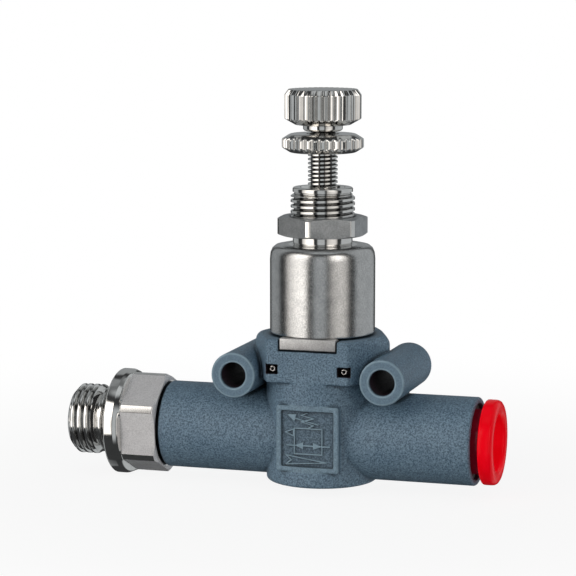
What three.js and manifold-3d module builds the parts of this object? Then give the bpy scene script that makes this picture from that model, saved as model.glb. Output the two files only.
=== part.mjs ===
// Miniature in-line air pressure regulator: a moulded body between a swivelling male stud and a
// push-in tube socket, with a knurled adjusting screw on a spring bonnet above.
//
// Frame, in millimetres: the origin is the centre of the base, +X points to the tube socket, +Z up
// to the knob, and the label faces -Y. The pieces are drawn about the crossing of the tube axis and
// the bonnet axis, and the assembly group lifts them onto the base.

import * as THREE from 'three';
import { mergeVertices } from 'three/addons/utils/BufferGeometryUtils.js';
import Module from 'manifold-3d';

const wasm = await Module();
wasm.setup();

// ---------- driving dimensions ----------

const ARM = { radius: 8.05, left: -29.5, right: 29.4, endChamfer: 0.5 };
const TRUNK = { radius: 10.25, bottom: -8.5, top: 11, edgeChamfer: 0.5 };
const HEAD = { frontHalfWidth: 7.65, halfWidth: 13.05, halfDepth: 10.03, bottom: 10.6, top: 18.55 };
const LUG = { x: 13.94, z: 11.65, radius: 4.15, holeRadius: 2.35, front: -10.35, rear: 11.3 };
const WEB = { inner: 8, outer: 12, front: 2, rear: 6, bottom: 5.3, top: 11 };
const LABEL = { halfWidth: 5.84, bottom: -5.55, top: 6.6, face: -9.95, band: 0.95, recess: 0.5 };

const INLET_Z = -3.9;
const OUTLET_Z = 3.2;
const PASSAGE_RADIUS = 1.55;

const SOCKET = { shoulder: 9.8, radius: 7.65 };
const CHAMBER = { floor: 1.3, radius: 6.5 };
const SEAT_BORE = { floor: -1.7, radius: 5.6 };
const WELL = { floor: -7, radius: 4.2 };
const STUD_BORE = { radius: 5.6, end: -17.5, grooveRadius: 6.2, grooveLeft: -26.6, grooveRight: -25.4 };
const TUBE_BORE = { radius: 6.9, seatRadius: 5.1, sealEnd: 19.5, stop: 14 };

const PIN = { x: 6.7, z: 13.1, radius: 0.65, slot: 0.35, bore: 0.32, halfLength: 9.3 };
const WINDOW = { inner: 5.55, outer: 7.9, halfHeight: 0.9, floor: 7.4 };
const TONGUE = { halfWidth: 5.25, halfLength: 9.95, bottom: 16.7, top: 18.9, play: 0.1 };

const BONNET = { radius: 9.63, bottom: 18.65, top: 34.95, shoulder: 2, skirtRadius: 7.55 };
const SPRING_BORE = { radius: 5.2, top: 31.5 };
const NECK = { top: 45.45, crest: 5.86, root: 5.3, pitch: 1, undercut: 5.45, threadStart: 37.4 };
const PANEL_NUT = { flats: 14.8, bottom: 36.65, top: 40.15, cornerAngle: -93 };

const SCREW = { crest: 2.7, root: 2.33, pitch: 0.75, bottom: 30.85, threadStart: 44, shank: 2.4 };
const SCREW_BORE = 2.78;
const KNOB = { radius: 7, top: 63.2, bottom: 56.75, teeth: 36, hubRadius: 3.6, hubBottom: 55.65 };
const LOCK_NUT = { radius: 7.46, top: 55.15, bottom: 51.75, teeth: 34 };
const KNURL_DEPTH = 0.45;

const SPRING_CAP = { radius: 4.9, top: 28.6, bottom: 26.2, pilotBottom: 23.6, pilotRadius: 3.2 };
const BALL = { radius: 1.5, z: 29.32 };
const REGULATING_SPRING = { coil: 4.2, wire: 0.6, bottom: 8.65, top: 26.15, turns: 7 };
const PISTON = { radius: 6.4, bottom: 5.6, top: 8.6, grooveRadius: 5.1, pilotTop: 11 };
const RELIEF_SEAT = { radius: 2.2, hole: 0.7, height: 0.8 };
const POPPET = { radius: 2.9, bottom: -4.4, face: -2.65, stemRadius: 1.1, stemTop: 5.55 };
const POPPET_SPRING = { coil: 2.1, wire: 0.22, bottom: -6.95, top: -4.45, turns: 4 };
const SEAT_INSERT = { radius: 5.5, hole: 1.9, top: 1.25, bottom: -1.65 };

const STUD = { end: -48.4, threadEnd: -42.7, flangeLeft: -39.7, flangeRight: -36.6 };
const STUD_RIB = { radius: 6.4, left: -42.05, right: -41.35 };
const STUD_THREAD = { crest: 6.58, root: 5.8, pitch: 1.337 };
const STUD_FLANGE_RADIUS = 9.86;
const STUD_HEX = { flats: 16.9, right: -29.9, cornerAngle: 5 };
const STUD_SPIGOT = { radius: 5.5, right: -18.4, bore: 3.6, seat: 4.95, left: -26.6, end: -25.4 };
const STUD_SEAL = { coil: 5.06, wire: 0.46, x: -21.5, grooveRadius: 4.55, grooveHalf: 0.8 };

const COLLAR = { radius: 7.75, bore: 5.12, left: 30.75, right: 33.35, sleeve: 5.95, tip: 24.9, fingers: 6 };
const BUSH = { left: 25.5, right: 28.7, bore: 6.05 };
const TUBE_SEAL = { left: 19.65, right: 21.8, lip: 4.95 };
const CARTRIDGE_RADIUS = 6.85;

const LARGE = 32;
const MEDIUM = 24;
const SMALL = 16;

const MATERIALS = {
  body: { color: 0x4d6070, roughness: 0.75, metalness: 0 },
  nickel: { color: 0xb9b6b0, roughness: 0.22, metalness: 1 },
  satinNickel: { color: 0xa9a6a0, roughness: 0.38, metalness: 1 },
  steel: { color: 0x9a9c9e, roughness: 0.3, metalness: 1 },
  brass: { color: 0xb08d4c, roughness: 0.35, metalness: 1 },
  red: { color: 0xd01020, roughness: 0.25, metalness: 0 },
  rubber: { color: 0x1b1c1d, roughness: 0.8, metalness: 0 },
  acetal: { color: 0xdcd9cf, roughness: 0.5, metalness: 0 },
  blackAcetal: { color: 0x242526, roughness: 0.5, metalness: 0 },
};

// ---------- solids ----------

/** Turns a closed three.js geometry into a manifold solid. */
function solid(geometry) {
  geometry.deleteAttribute('normal');
  geometry.deleteAttribute('uv');
  const merged = mergeVertices(geometry, 1e-5);
  const vertProperties = new Float32Array(merged.getAttribute('position').array);
  const triVerts = new Uint32Array(merged.index.array);
  return new wasm.Manifold(new wasm.Mesh({ numProp: 3, vertProperties, triVerts }));
}

/** Turns a manifold solid back into a three.js geometry. */
function geometryOf(body) {
  const mesh = body.getMesh();
  const geometry = new THREE.BufferGeometry();
  geometry.setAttribute('position', new THREE.BufferAttribute(new Float32Array(mesh.vertProperties), 3));
  geometry.setIndex(new THREE.BufferAttribute(new Uint32Array(mesh.triVerts), 1));
  geometry.computeVertexNormals();
  return geometry;
}

/** A solid of revolution about Z from [radius, z] points that run upwards on the outside. */
function turned(points, segments = LARGE) {
  const profile = points.map(([radius, z]) => new THREE.Vector2(radius, z));
  return new THREE.LatheGeometry(profile, segments).rotateX(Math.PI / 2);
}

/** A plain solid cylinder between two heights on Z. */
function rod(radius, bottom, top, segments = LARGE) {
  return solid(turned([[0, bottom], [radius, bottom], [radius, top], [0, top]], segments));
}

/** A flat ring of rectangular section on Z. */
function ring(inner, outer, bottom, top, segments = MEDIUM) {
  const section = [[inner, bottom], [outer, bottom], [outer, top], [inner, top], [inner, bottom]];
  return solid(turned(section, segments));
}

/** Lays a solid made along Z down along X, at the same stations. */
function alongX(body) {
  return body.rotate([0, 90, 0]);
}

/** Lays a solid made along Z down along Y, at the same stations. */
function alongY(body) {
  return body.rotate([-90, 0, 0]);
}

/** A box between two corners. */
function box([x0, y0, z0], [x1, y1, z1]) {
  const block = new THREE.BoxGeometry(x1 - x0, y1 - y0, z1 - z0);
  return solid(block.translate((x0 + x1) / 2, (y0 + y1) / 2, (z0 + z1) / 2));
}

/** A prism on Z over a closed outline of [x, y] points. */
function prism(outline, bottom, top) {
  const shape = new THREE.Shape(outline.map(([x, y]) => new THREE.Vector2(x, y)));
  const extruded = new THREE.ExtrudeGeometry(shape, { depth: top - bottom, bevelEnabled: false });
  return solid(extruded.translate(0, 0, bottom));
}

/** The outline of a hexagon across flats, with one corner at the given angle in degrees. */
function hexagon(flats, cornerAngle) {
  const radius = flats / Math.sqrt(3);
  return Array.from({ length: 6 }, (_, i) => {
    const angle = THREE.MathUtils.degToRad(cornerAngle + 60 * i);
    return [radius * Math.cos(angle), radius * Math.sin(angle)];
  });
}

/** The outline of a straight knurl: teeth of the full radius with V grooves between them. */
function knurlOutline(radius, teeth) {
  const steps = [[0.2, 0], [0.5, KNURL_DEPTH], [0.8, 0]];
  const outline = [];
  for (let tooth = 0; tooth < teeth; tooth += 1) {
    for (const [share, depth] of steps) {
      const angle = (2 * Math.PI * (tooth + share)) / teeth;
      outline.push([(radius - depth) * Math.cos(angle), (radius - depth) * Math.sin(angle)]);
    }
  }
  return outline;
}

/** A right-hand threaded rod on Z, cut flat at both ends. */
function threadedRod(crest, root, pitch, bottom, top, segments) {
  const rows = 2 * (Math.ceil((top - bottom) / pitch) + 3);
  const start = bottom - 2 * pitch;
  const positions = [0, 0, start];
  for (let row = 0; row <= rows + 2; row += 1) {
    const radius = row % 2 ? root : crest;
    for (let i = 0; i < segments; i += 1) {
      const angle = (2 * Math.PI * i) / segments;
      const z = start + pitch * (row / 2 + i / segments);
      positions.push(radius * Math.cos(angle), radius * Math.sin(angle), z);
    }
  }
  positions.push(0, 0, start + pitch * (rows / 2 + 1));
  const last = positions.length / 3 - 1;
  const at = (row, i) => (i < segments ? 1 + row * segments + i : 1 + (row + 2) * segments);
  const index = [];
  for (let row = 0; row < rows; row += 1) {
    for (let i = 0; i < segments; i += 1) {
      index.push(at(row, i), at(row, i + 1), at(row + 1, i + 1));
      index.push(at(row, i), at(row + 1, i + 1), at(row + 1, i));
    }
  }
  for (let i = 0; i < segments; i += 1) {
    index.push(0, at(0, i + 1), at(0, i));
    index.push(last, at(rows, i), at(rows, i + 1));
  }
  index.push(0, at(1, 0), at(2, 0), 0, at(0, 0), at(1, 0));
  index.push(last, at(rows + 1, 0), at(rows, 0), last, at(rows + 2, 0), at(rows + 1, 0));
  const geometry = new THREE.BufferGeometry();
  geometry.setAttribute('position', new THREE.Float32BufferAttribute(positions, 3));
  geometry.setIndex(index);
  return solid(geometry).intersect(rod(crest + 1, bottom, top, 8));
}

/** A closed ring of round section on Z, such as an O-ring. */
function torus(coil, wire, z) {
  return solid(new THREE.TorusGeometry(coil, wire, 8, MEDIUM).translate(0, 0, z));
}

/** A helical compression spring on Z with flat-lying end turns. */
function spring({ coil, wire, bottom, top, turns }) {
  class Helix extends THREE.Curve {
    getPoint(t, target = new THREE.Vector3()) {
      const angle = 2 * Math.PI * turns * t;
      const low = bottom + wire;
      const high = top - wire;
      const rise = THREE.MathUtils.smoothstep(t, 0.5 / turns, 1 - 0.5 / turns);
      const z = low + (high - low) * (0.12 * rise + 0.88 * t);
      return target.set(coil * Math.cos(angle), coil * Math.sin(angle), z);
    }
  }
  const section = new THREE.Shape().absarc(0, 0, wire * 0.98, 0, 2 * Math.PI, false);
  const options = { steps: turns * 12, curveSegments: 3, extrudePath: new Helix(), bevelEnabled: false };
  return solid(new THREE.ExtrudeGeometry(section, options));
}

// ---------- pieces of the body ----------

function headPrism() {
  const { frontHalfWidth: front, halfWidth: side, halfDepth: depth, bottom, top } = HEAD;
  const outline = [[-front, -depth], [front, -depth], [side, -0.6], [side, 0.6]];
  outline.push([front, depth], [-front, depth], [-side, 0.6], [-side, -0.6]);
  return prism(outline, bottom, top);
}

function trunk() {
  const { radius, bottom, top, edgeChamfer } = TRUNK;
  const profile = [[0, bottom], [radius - edgeChamfer, bottom], [radius, bottom + edgeChamfer]];
  profile.push([radius, top], [0, top]);
  return solid(turned(profile));
}

function arms() {
  const { radius, left, right, endChamfer } = ARM;
  const profile = [[0, left], [radius, left], [radius, right - endChamfer], [radius - endChamfer, right]];
  profile.push([0, right]);
  return alongX(solid(turned(profile)));
}

function lugs() {
  const tube = alongY(rod(LUG.radius, LUG.front, LUG.rear, MEDIUM));
  return tube.translate([LUG.x, 0, LUG.z]).add(tube.translate([-LUG.x, 0, LUG.z]));
}

function lugHoles() {
  const hole = alongY(rod(LUG.holeRadius, LUG.front - 1, LUG.rear + 1, SMALL));
  return hole.translate([LUG.x, 0, LUG.z]).add(hole.translate([-LUG.x, 0, LUG.z]));
}

function labelPad() {
  const { halfWidth, bottom, top, face } = LABEL;
  return box([-halfWidth, face, bottom], [halfWidth, face + 3, top]);
}

function labelRecess() {
  const { halfWidth, bottom, top, face, band, recess } = LABEL;
  return box([band - halfWidth, face - 1, bottom + band], [halfWidth - band, face + recess, top - band]);
}

/** The stepped bore that takes the seat, piston and bonnet, from the top down. */
function verticalBore() {
  const profile = [[0, WELL.floor], [WELL.radius, WELL.floor], [WELL.radius, SEAT_BORE.floor]];
  profile.push([SEAT_BORE.radius, SEAT_BORE.floor], [SEAT_BORE.radius, CHAMBER.floor]);
  profile.push([CHAMBER.radius, CHAMBER.floor], [CHAMBER.radius, SOCKET.shoulder]);
  profile.push([SOCKET.radius, SOCKET.shoulder], [SOCKET.radius, HEAD.top + 1], [0, HEAD.top + 1]);
  return solid(turned(profile));
}

/** The stud's bore, its ring groove and the inlet passage to the well under the seat. */
function inletBores() {
  const { radius, end, grooveRadius, grooveLeft, grooveRight } = STUD_BORE;
  const profile = [[0, ARM.left - 1], [radius, ARM.left - 1], [radius, grooveLeft]];
  profile.push([grooveRadius, grooveLeft], [grooveRadius, grooveRight], [radius, grooveRight]);
  profile.push([radius, end], [0, end]);
  const bore = alongX(solid(turned(profile, MEDIUM)));
  const passage = alongX(rod(PASSAGE_RADIUS, end - 1, -WELL.radius + 0.8, SMALL));
  return bore.add(passage.translate([0, 0, INLET_Z]));
}

/** The tube socket's stepped bore and the outlet passage from the piston chamber. */
function outletBores() {
  const { radius, seatRadius, sealEnd, stop } = TUBE_BORE;
  const profile = [[0, stop], [seatRadius, stop], [seatRadius, sealEnd], [radius, sealEnd]];
  profile.push([radius, ARM.right + 1], [0, ARM.right + 1]);
  const bore = alongX(solid(turned(profile)));
  const passage = alongX(rod(PASSAGE_RADIUS, CHAMBER.radius - 1, stop + 1, SMALL));
  return bore.add(passage.translate([0, 0, OUTLET_Z]));
}

/** The webs that tie each lug to the arm and the trunk below the head. */
function lugWebs() {
  const { inner, outer, front, rear, bottom, top } = WEB;
  return box([inner, front, bottom], [outer, rear, top]).add(box([-outer, front, bottom], [-inner, rear, top]));
}

/** The notch across the head for the bonnet's tongue. */
function tongueNotch() {
  const half = TONGUE.halfWidth + TONGUE.play;
  const reach = HEAD.halfDepth + 1;
  return box([-half, -reach, TONGUE.bottom - TONGUE.play], [half, reach, HEAD.top + 1]);
}

/** The two pin bores, each with a window at the front and back corners of the head. */
function pinBores() {
  let cut = null;
  for (const side of [-1, 1]) {
    const reach = HEAD.halfDepth + 1;
    const bore = alongY(rod(PIN.radius + 0.03, -reach, reach, 12)).translate([side * PIN.x, 0, PIN.z]);
    cut = cut ? cut.add(bore) : bore;
    for (const end of [-1, 1]) {
      const xs = [side * WINDOW.inner, side * WINDOW.outer].sort((a, b) => a - b);
      const ys = [end * WINDOW.floor, end * reach].sort((a, b) => a - b);
      const low = [xs[0], ys[0], PIN.z - WINDOW.halfHeight];
      cut = cut.add(box(low, [xs[1], ys[1], PIN.z + WINDOW.halfHeight]));
    }
  }
  return cut;
}

function valveBody() {
  const outside = trunk().add(arms()).add(headPrism()).add(lugs()).add(lugWebs()).add(labelPad());
  const cuts = [verticalBore(), inletBores(), outletBores(), tongueNotch(), pinBores()];
  cuts.push(lugHoles(), labelRecess());
  return cuts.reduce((body, cut) => body.subtract(cut), outside);
}

// ---------- bonnet group ----------

/** A profile's quarter-round from the side up to the top, as [radius, z] points. */
function shoulderArc(radius, top, round, steps = 5) {
  return Array.from({ length: steps + 1 }, (_, i) => {
    const angle = (Math.PI / 2) * (i / steps);
    return [radius - round + round * Math.cos(angle), top - round + round * Math.sin(angle)];
  });
}

function bonnet() {
  const groove = { radius: 6, bottom: PIN.z - 0.75, top: PIN.z + 0.75 };
  const { skirtRadius, bottom, radius, top, shoulder } = BONNET;
  const low = SOCKET.shoulder + 0.15;
  const profile = [[0, low], [skirtRadius, low], [skirtRadius, groove.bottom]];
  profile.push([groove.radius, groove.bottom], [groove.radius, groove.top]);
  profile.push([skirtRadius, groove.top], [skirtRadius, bottom], [radius, bottom]);
  profile.push(...shoulderArc(radius, top, shoulder), [NECK.undercut, top]);
  profile.push([NECK.undercut, NECK.threadStart + 0.1], [0, NECK.threadStart + 0.1]);
  const { halfWidth, halfLength } = TONGUE;
  const tongue = box([-halfWidth, -halfLength, TONGUE.bottom], [halfWidth, halfLength, TONGUE.top]);
  const thread = threadedRod(NECK.crest, NECK.root, NECK.pitch, NECK.threadStart, NECK.top, MEDIUM);
  const endCone = [[0, NECK.threadStart], [NECK.crest + 0.2, NECK.threadStart]];
  endCone.push([NECK.crest + 0.2, NECK.top - 0.9], [NECK.root - 0.2, NECK.top], [0, NECK.top]);
  const bore = rod(SPRING_BORE.radius, low - 1, SPRING_BORE.top).add(rod(SCREW_BORE, low, NECK.top + 1, SMALL));
  const outside = solid(turned(profile)).add(tongue).add(thread.intersect(solid(turned(endCone))));
  return outside.subtract(bore);
}

/** A slotted spring pin, rolled from strip. */
function springPin() {
  const tube = rod(PIN.radius - 0.03, -PIN.halfLength, PIN.halfLength, 12);
  const bore = rod(PIN.bore, -PIN.halfLength - 1, PIN.halfLength + 1, 12);
  const slot = box([0, -PIN.slot / 2, -PIN.halfLength - 1], [2, PIN.slot / 2, PIN.halfLength + 1]);
  return alongY(tube.subtract(bore).subtract(slot));
}

/** A hexagon nut blank with its corners turned down to a cone at both ends. */
function hexBlank(flats, cornerAngle, bottom, top, topCone, bottomCone) {
  const corner = flats / Math.sqrt(3) + 0.05;
  const cone = [[0, bottom], [corner - bottomCone.radial, bottom], [corner, bottom + bottomCone.height]];
  cone.push([corner, top - topCone.height], [corner - topCone.radial, top], [0, top]);
  return prism(hexagon(flats, cornerAngle), bottom, top).intersect(solid(turned(cone)));
}

function panelNut() {
  const cone = { radial: 1.1, height: 0.36 };
  const { flats, cornerAngle, bottom, top } = PANEL_NUT;
  const blank = hexBlank(flats, cornerAngle, bottom, top, cone, cone);
  return blank.subtract(rod(NECK.crest + 0.06, bottom - 1, top + 1, MEDIUM));
}

// ---------- adjusting group ----------

function adjustingScrew() {
  const { crest, root, pitch, bottom, threadStart, shank } = SCREW;
  const thread = threadedRod(crest, root, pitch, threadStart, KNOB.hubBottom - 0.05, SMALL);
  const lower = rod(crest, bottom, threadStart + 0.1, SMALL);
  return thread.add(lower).add(rod(shank, KNOB.hubBottom - 0.1, KNOB.top - 2.5, SMALL));
}

function knurled(radius, teeth, profile, bottom, top) {
  return prism(knurlOutline(radius, teeth), bottom, top).intersect(solid(turned(profile, LARGE)));
}

function knob() {
  const { radius, top, bottom, teeth, hubRadius, hubBottom } = KNOB;
  const profile = [[0, bottom], [radius - 2, bottom], [radius + 0.03, bottom + 1.15]];
  profile.push([radius + 0.03, top - 1], [radius - 0.65, top], [0, top]);
  const head = knurled(radius, teeth, profile, bottom, top);
  const bore = rod(SCREW.shank + 0.04, hubBottom - 1, KNOB.top - 2.4, SMALL);
  return head.add(rod(hubRadius, hubBottom, bottom + 1, SMALL)).subtract(bore);
}

function lockNut() {
  const { radius, top, bottom, teeth } = LOCK_NUT;
  const profile = [[0, bottom], [radius - 1.5, bottom], [radius + 0.03, bottom + 0.95]];
  profile.push([radius + 0.03, top - 0.95], [radius - 1.5, top], [0, top]);
  const blank = knurled(radius, teeth, profile, bottom, top);
  return blank.subtract(rod(SCREW_BORE, bottom - 1, top + 1, SMALL));
}

function springCap() {
  const { radius, top, bottom, pilotBottom, pilotRadius } = SPRING_CAP;
  const profile = [[0, pilotBottom], [pilotRadius - 0.4, pilotBottom], [pilotRadius, pilotBottom + 0.4]];
  profile.push([pilotRadius, bottom], [radius, bottom], [radius, top]);
  profile.push([BALL.radius + 0.1, top], [BALL.radius + 0.1, BALL.z - BALL.radius - 0.05]);
  profile.push([0, BALL.z - BALL.radius - 0.05]);
  return solid(turned(profile, MEDIUM));
}

function thrustBall() {
  return solid(new THREE.SphereGeometry(BALL.radius, 16, 10).rotateX(Math.PI / 2).translate(0, 0, BALL.z));
}

// ---------- piston and valve ----------

function piston() {
  const { radius, bottom, top, grooveRadius, pilotTop } = PISTON;
  const grooveLow = bottom + 0.8;
  const grooveHigh = top - 0.8;
  const { radius: seat, hole, height } = RELIEF_SEAT;
  const profile = [[hole, bottom + height], [seat + 0.05, bottom + height], [seat + 0.05, bottom]];
  profile.push([radius, bottom], [radius, grooveLow], [grooveRadius, grooveLow]);
  profile.push([grooveRadius, grooveHigh], [radius, grooveHigh], [radius, top]);
  profile.push([3.3, top], [3.3, pilotTop - 0.5], [2.8, pilotTop], [hole, pilotTop]);
  profile.push([hole, bottom + height]);
  return solid(turned(profile, LARGE));
}

function pistonSeal() {
  const middle = (PISTON.bottom + PISTON.top) / 2;
  const { grooveRadius } = PISTON;
  const section = [[grooveRadius + 0.05, middle - 0.6], [6.2, middle - 0.6], [6.47, middle - 0.45]];
  section.push([6.2, middle], [6.47, middle + 0.45], [6.2, middle + 0.6]);
  section.push([grooveRadius + 0.05, middle + 0.6], [grooveRadius + 0.05, middle - 0.6]);
  return solid(turned(section, LARGE));
}

function reliefSeat() {
  const { radius, hole, height } = RELIEF_SEAT;
  return ring(hole, radius, PISTON.bottom + 0.02, PISTON.bottom + height - 0.03, SMALL);
}

function poppet() {
  const { radius, bottom, face, stemRadius, stemTop } = POPPET;
  const profile = [[0, bottom - 0.9], [1.4, bottom - 0.9], [1.7, bottom], [radius, bottom]];
  profile.push([radius, face], [1.25, face], [1.25, face + 0.8], [stemRadius, face + 0.95]);
  profile.push([stemRadius, stemTop - 0.4], [stemRadius - 0.4, stemTop], [0, stemTop]);
  return solid(turned(profile, SMALL));
}

function poppetSeal() {
  return ring(1.3, POPPET.radius, POPPET.face + 0.03, POPPET.face + 0.85, SMALL);
}

function seatInsert() {
  const { radius, hole, top, bottom } = SEAT_INSERT;
  const grooveRadius = 4.3;
  const profile = [[hole, bottom], [hole + 0.35, bottom], [hole + 0.55, bottom + 0.4]];
  profile.push([radius, bottom + 0.4], [radius, bottom + 0.8], [grooveRadius, bottom + 0.8]);
  profile.push([grooveRadius, top - 0.7], [radius, top - 0.7], [radius, top], [hole, top], [hole, bottom]);
  return solid(turned(profile, MEDIUM));
}

function seatSeal() {
  return torus(4.94, 0.6, (SEAT_INSERT.bottom + SEAT_INSERT.top + 0.1) / 2);
}

function seatRetainingRing() {
  const base = ring(4.5, CHAMBER.radius - 0.05, CHAMBER.floor + 0.03, CHAMBER.floor + 0.55);
  return base.subtract(box([-1.2, 3, 0], [1.2, 8, 3]));
}

// ---------- swivel stud, made along Z and laid on the tube axis ----------

function maleStud() {
  const { end, threadEnd, flangeLeft, flangeRight } = STUD;
  const { crest, root, pitch } = STUD_THREAD;
  const thread = threadedRod(crest, root, pitch, end, threadEnd, MEDIUM);
  const leadIn = [[0, end], [root - 0.1, end], [crest + 0.1, end + 0.9], [crest + 0.1, threadEnd], [0, threadEnd]];
  const { radius: rib, left: ribLeft, right: ribRight } = STUD_RIB;
  const flange = [[0, threadEnd - 0.1], [5.6, threadEnd - 0.1], [5.6, ribLeft], [rib, ribLeft]];
  flange.push([rib, ribRight], [5.6, ribRight], [5.6, flangeLeft]);
  flange.push([STUD_FLANGE_RADIUS - 0.35, flangeLeft], [STUD_FLANGE_RADIUS, flangeLeft + 0.35]);
  flange.push([STUD_FLANGE_RADIUS, flangeRight - 1.1], [STUD_FLANGE_RADIUS - 0.8, flangeRight]);
  flange.push([0, flangeRight]);
  const cone = { radial: 0.9, height: 0.55 };
  const hex = hexBlank(STUD_HEX.flats, STUD_HEX.cornerAngle, flangeRight - 0.1, STUD_HEX.right, cone, cone);
  const { radius, right, bore, seat, left, end: seatEnd } = STUD_SPIGOT;
  const { x, grooveRadius, grooveHalf } = STUD_SEAL;
  const spigot = [[0, STUD_HEX.right - 0.1], [radius, STUD_HEX.right - 0.1], [radius, left], [seat, left]];
  spigot.push([seat, seatEnd], [radius, seatEnd], [radius, x - grooveHalf], [grooveRadius, x - grooveHalf]);
  spigot.push([grooveRadius, x + grooveHalf], [radius, x + grooveHalf], [radius, right - 0.4]);
  spigot.push([radius - 0.4, right], [0, right]);
  const outside = thread.intersect(solid(turned(leadIn, MEDIUM))).add(solid(turned(flange)));
  const groove = ring(7, 8.5, flangeLeft - 1, flangeLeft + 0.9);
  const whole = outside.add(hex).add(solid(turned(spigot, MEDIUM)));
  return alongX(whole.subtract(rod(bore, end - 1, right + 1, SMALL)).subtract(groove));
}

function studFaceSeal() {
  return alongX(ring(7.05, 8.45, STUD.flangeLeft + 0.05, STUD.flangeLeft + 0.85));
}

function studSeal() {
  return alongX(torus(STUD_SEAL.coil, STUD_SEAL.wire, STUD_SEAL.x));
}

function studRetainingRing() {
  const middle = (STUD_BORE.grooveLeft + STUD_BORE.grooveRight) / 2;
  const wire = torus(5.62, 0.45, middle);
  return alongX(wire.subtract(box([-1.5, 3, middle - 2], [1.5, 8, middle + 2])));
}

// ---------- tube socket, made along Z and laid on the tube axis ----------

function releaseCollar() {
  const { radius, bore, left, right, sleeve, tip, fingers } = COLLAR;
  const profile = [[bore, tip], [sleeve - 0.35, tip], [sleeve, tip + 0.35], [sleeve, left], [radius - 0.4, left]];
  profile.push([radius, left + 0.4], [radius, right - 0.8], [radius - 0.25, right - 0.25]);
  profile.push([radius - 0.8, right], [bore + 0.4, right], [bore, right - 0.4], [bore, tip]);
  let collar = solid(turned(profile, LARGE));
  for (let i = 0; i < fingers / 2; i += 1) {
    const slot = box([-0.35, -sleeve - 1, tip - 1], [0.35, sleeve + 1, left - 1.6]);
    collar = collar.subtract(slot.rotate([0, 0, (360 * i) / fingers]));
  }
  return alongX(collar);
}

function collarBush() {
  return alongX(ring(BUSH.bore, CARTRIDGE_RADIUS, BUSH.left, BUSH.right, LARGE));
}

function gripRing() {
  const section = [[5.25, 22.75], [6.1, 23.35], [CARTRIDGE_RADIUS - 0.05, 23.35], [CARTRIDGE_RADIUS - 0.05, 23.6]];
  section.push([6, 23.6], [5.25, 23], [5.25, 22.75]);
  let cone = solid(turned(section, LARGE));
  for (let i = 0; i < 4; i += 1) {
    cone = cone.subtract(box([-0.3, -6, 22], [0.3, 6, 24]).rotate([0, 0, 45 * i]));
  }
  return alongX(cone);
}

function sealWasher() {
  return alongX(ring(5.3, CARTRIDGE_RADIUS, TUBE_SEAL.right + 0.05, 22.5));
}

function tubeSeal() {
  const { left, right, lip } = TUBE_SEAL;
  const section = [[5.5, left], [CARTRIDGE_RADIUS, left], [CARTRIDGE_RADIUS, right], [5.3, right]];
  section.push([lip, right - 0.7], [5.3, left + 0.7], [5.5, left]);
  return alongX(solid(turned(section, MEDIUM)));
}

// ---------- assembly ----------

const regulator = new THREE.Group();
const assembly = new THREE.Group();
assembly.position.z = -TRUNK.bottom;
regulator.add(assembly);

function addPart(name, material, body, [x, y, z] = [0, 0, 0], parent = assembly) {
  const mesh = new THREE.Mesh(geometryOf(body), new THREE.MeshStandardMaterial(MATERIALS[material]));
  mesh.name = name;
  mesh.position.set(x, y, z);
  parent.add(mesh);
}

const bonnetGroup = new THREE.Group();
const adjusterGroup = new THREE.Group();
const valveGroup = new THREE.Group();
const studGroup = new THREE.Group();
const socketGroup = new THREE.Group();
assembly.add(bonnetGroup, adjusterGroup, valveGroup, studGroup, socketGroup);

addPart('valve_body', 'body', valveBody());

addPart('bonnet', 'satinNickel', bonnet(), [0, 0, 0], bonnetGroup);
addPart('bonnet_pin_left', 'steel', springPin(), [-PIN.x, 0, PIN.z], bonnetGroup);
addPart('bonnet_pin_right', 'steel', springPin(), [PIN.x, 0, PIN.z], bonnetGroup);
addPart('panel_nut', 'satinNickel', panelNut(), [0, 0, 0], bonnetGroup);

addPart('adjusting_screw', 'nickel', adjustingScrew(), [0, 0, 0], adjusterGroup);
addPart('knob', 'nickel', knob(), [0, 0, 0], adjusterGroup);
addPart('lock_nut', 'nickel', lockNut(), [0, 0, 0], adjusterGroup);
addPart('spring_cap', 'steel', springCap(), [0, 0, 0], adjusterGroup);
addPart('thrust_ball', 'steel', thrustBall(), [0, 0, 0], adjusterGroup);
addPart('regulating_spring', 'steel', spring(REGULATING_SPRING), [0, 0, 0], adjusterGroup);

addPart('piston', 'acetal', piston(), [0, 0, 0], valveGroup);
addPart('piston_seal', 'rubber', pistonSeal(), [0, 0, 0], valveGroup);
addPart('relief_seat', 'rubber', reliefSeat(), [0, 0, 0], valveGroup);
addPart('poppet', 'brass', poppet(), [0, 0, 0], valveGroup);
addPart('poppet_seal', 'rubber', poppetSeal(), [0, 0, 0], valveGroup);
addPart('poppet_spring', 'steel', spring(POPPET_SPRING), [0, 0, 0], valveGroup);
addPart('seat_insert', 'brass', seatInsert(), [0, 0, 0], valveGroup);
addPart('seat_seal', 'rubber', seatSeal(), [0, 0, 0], valveGroup);
addPart('seat_retaining_ring', 'steel', seatRetainingRing(), [0, 0, 0], valveGroup);

addPart('male_stud', 'nickel', maleStud(), [0, 0, 0], studGroup);
addPart('stud_face_seal', 'rubber', studFaceSeal(), [0, 0, 0], studGroup);
addPart('stud_seal', 'rubber', studSeal(), [0, 0, 0], studGroup);
addPart('stud_retaining_ring', 'steel', studRetainingRing(), [0, 0, 0], studGroup);

addPart('release_collar', 'red', releaseCollar(), [0, 0, 0], socketGroup);
addPart('collar_bush', 'blackAcetal', collarBush(), [0, 0, 0], socketGroup);
addPart('grip_ring', 'steel', gripRing(), [0, 0, 0], socketGroup);
addPart('seal_washer', 'acetal', sealWasher(), [0, 0, 0], socketGroup);
addPart('tube_seal', 'rubber', tubeSeal(), [0, 0, 0], socketGroup);

export default regulator;
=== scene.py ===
"""Looks of the in-line pressure regulator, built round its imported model. Lengths are millimetres."""

import math

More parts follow.
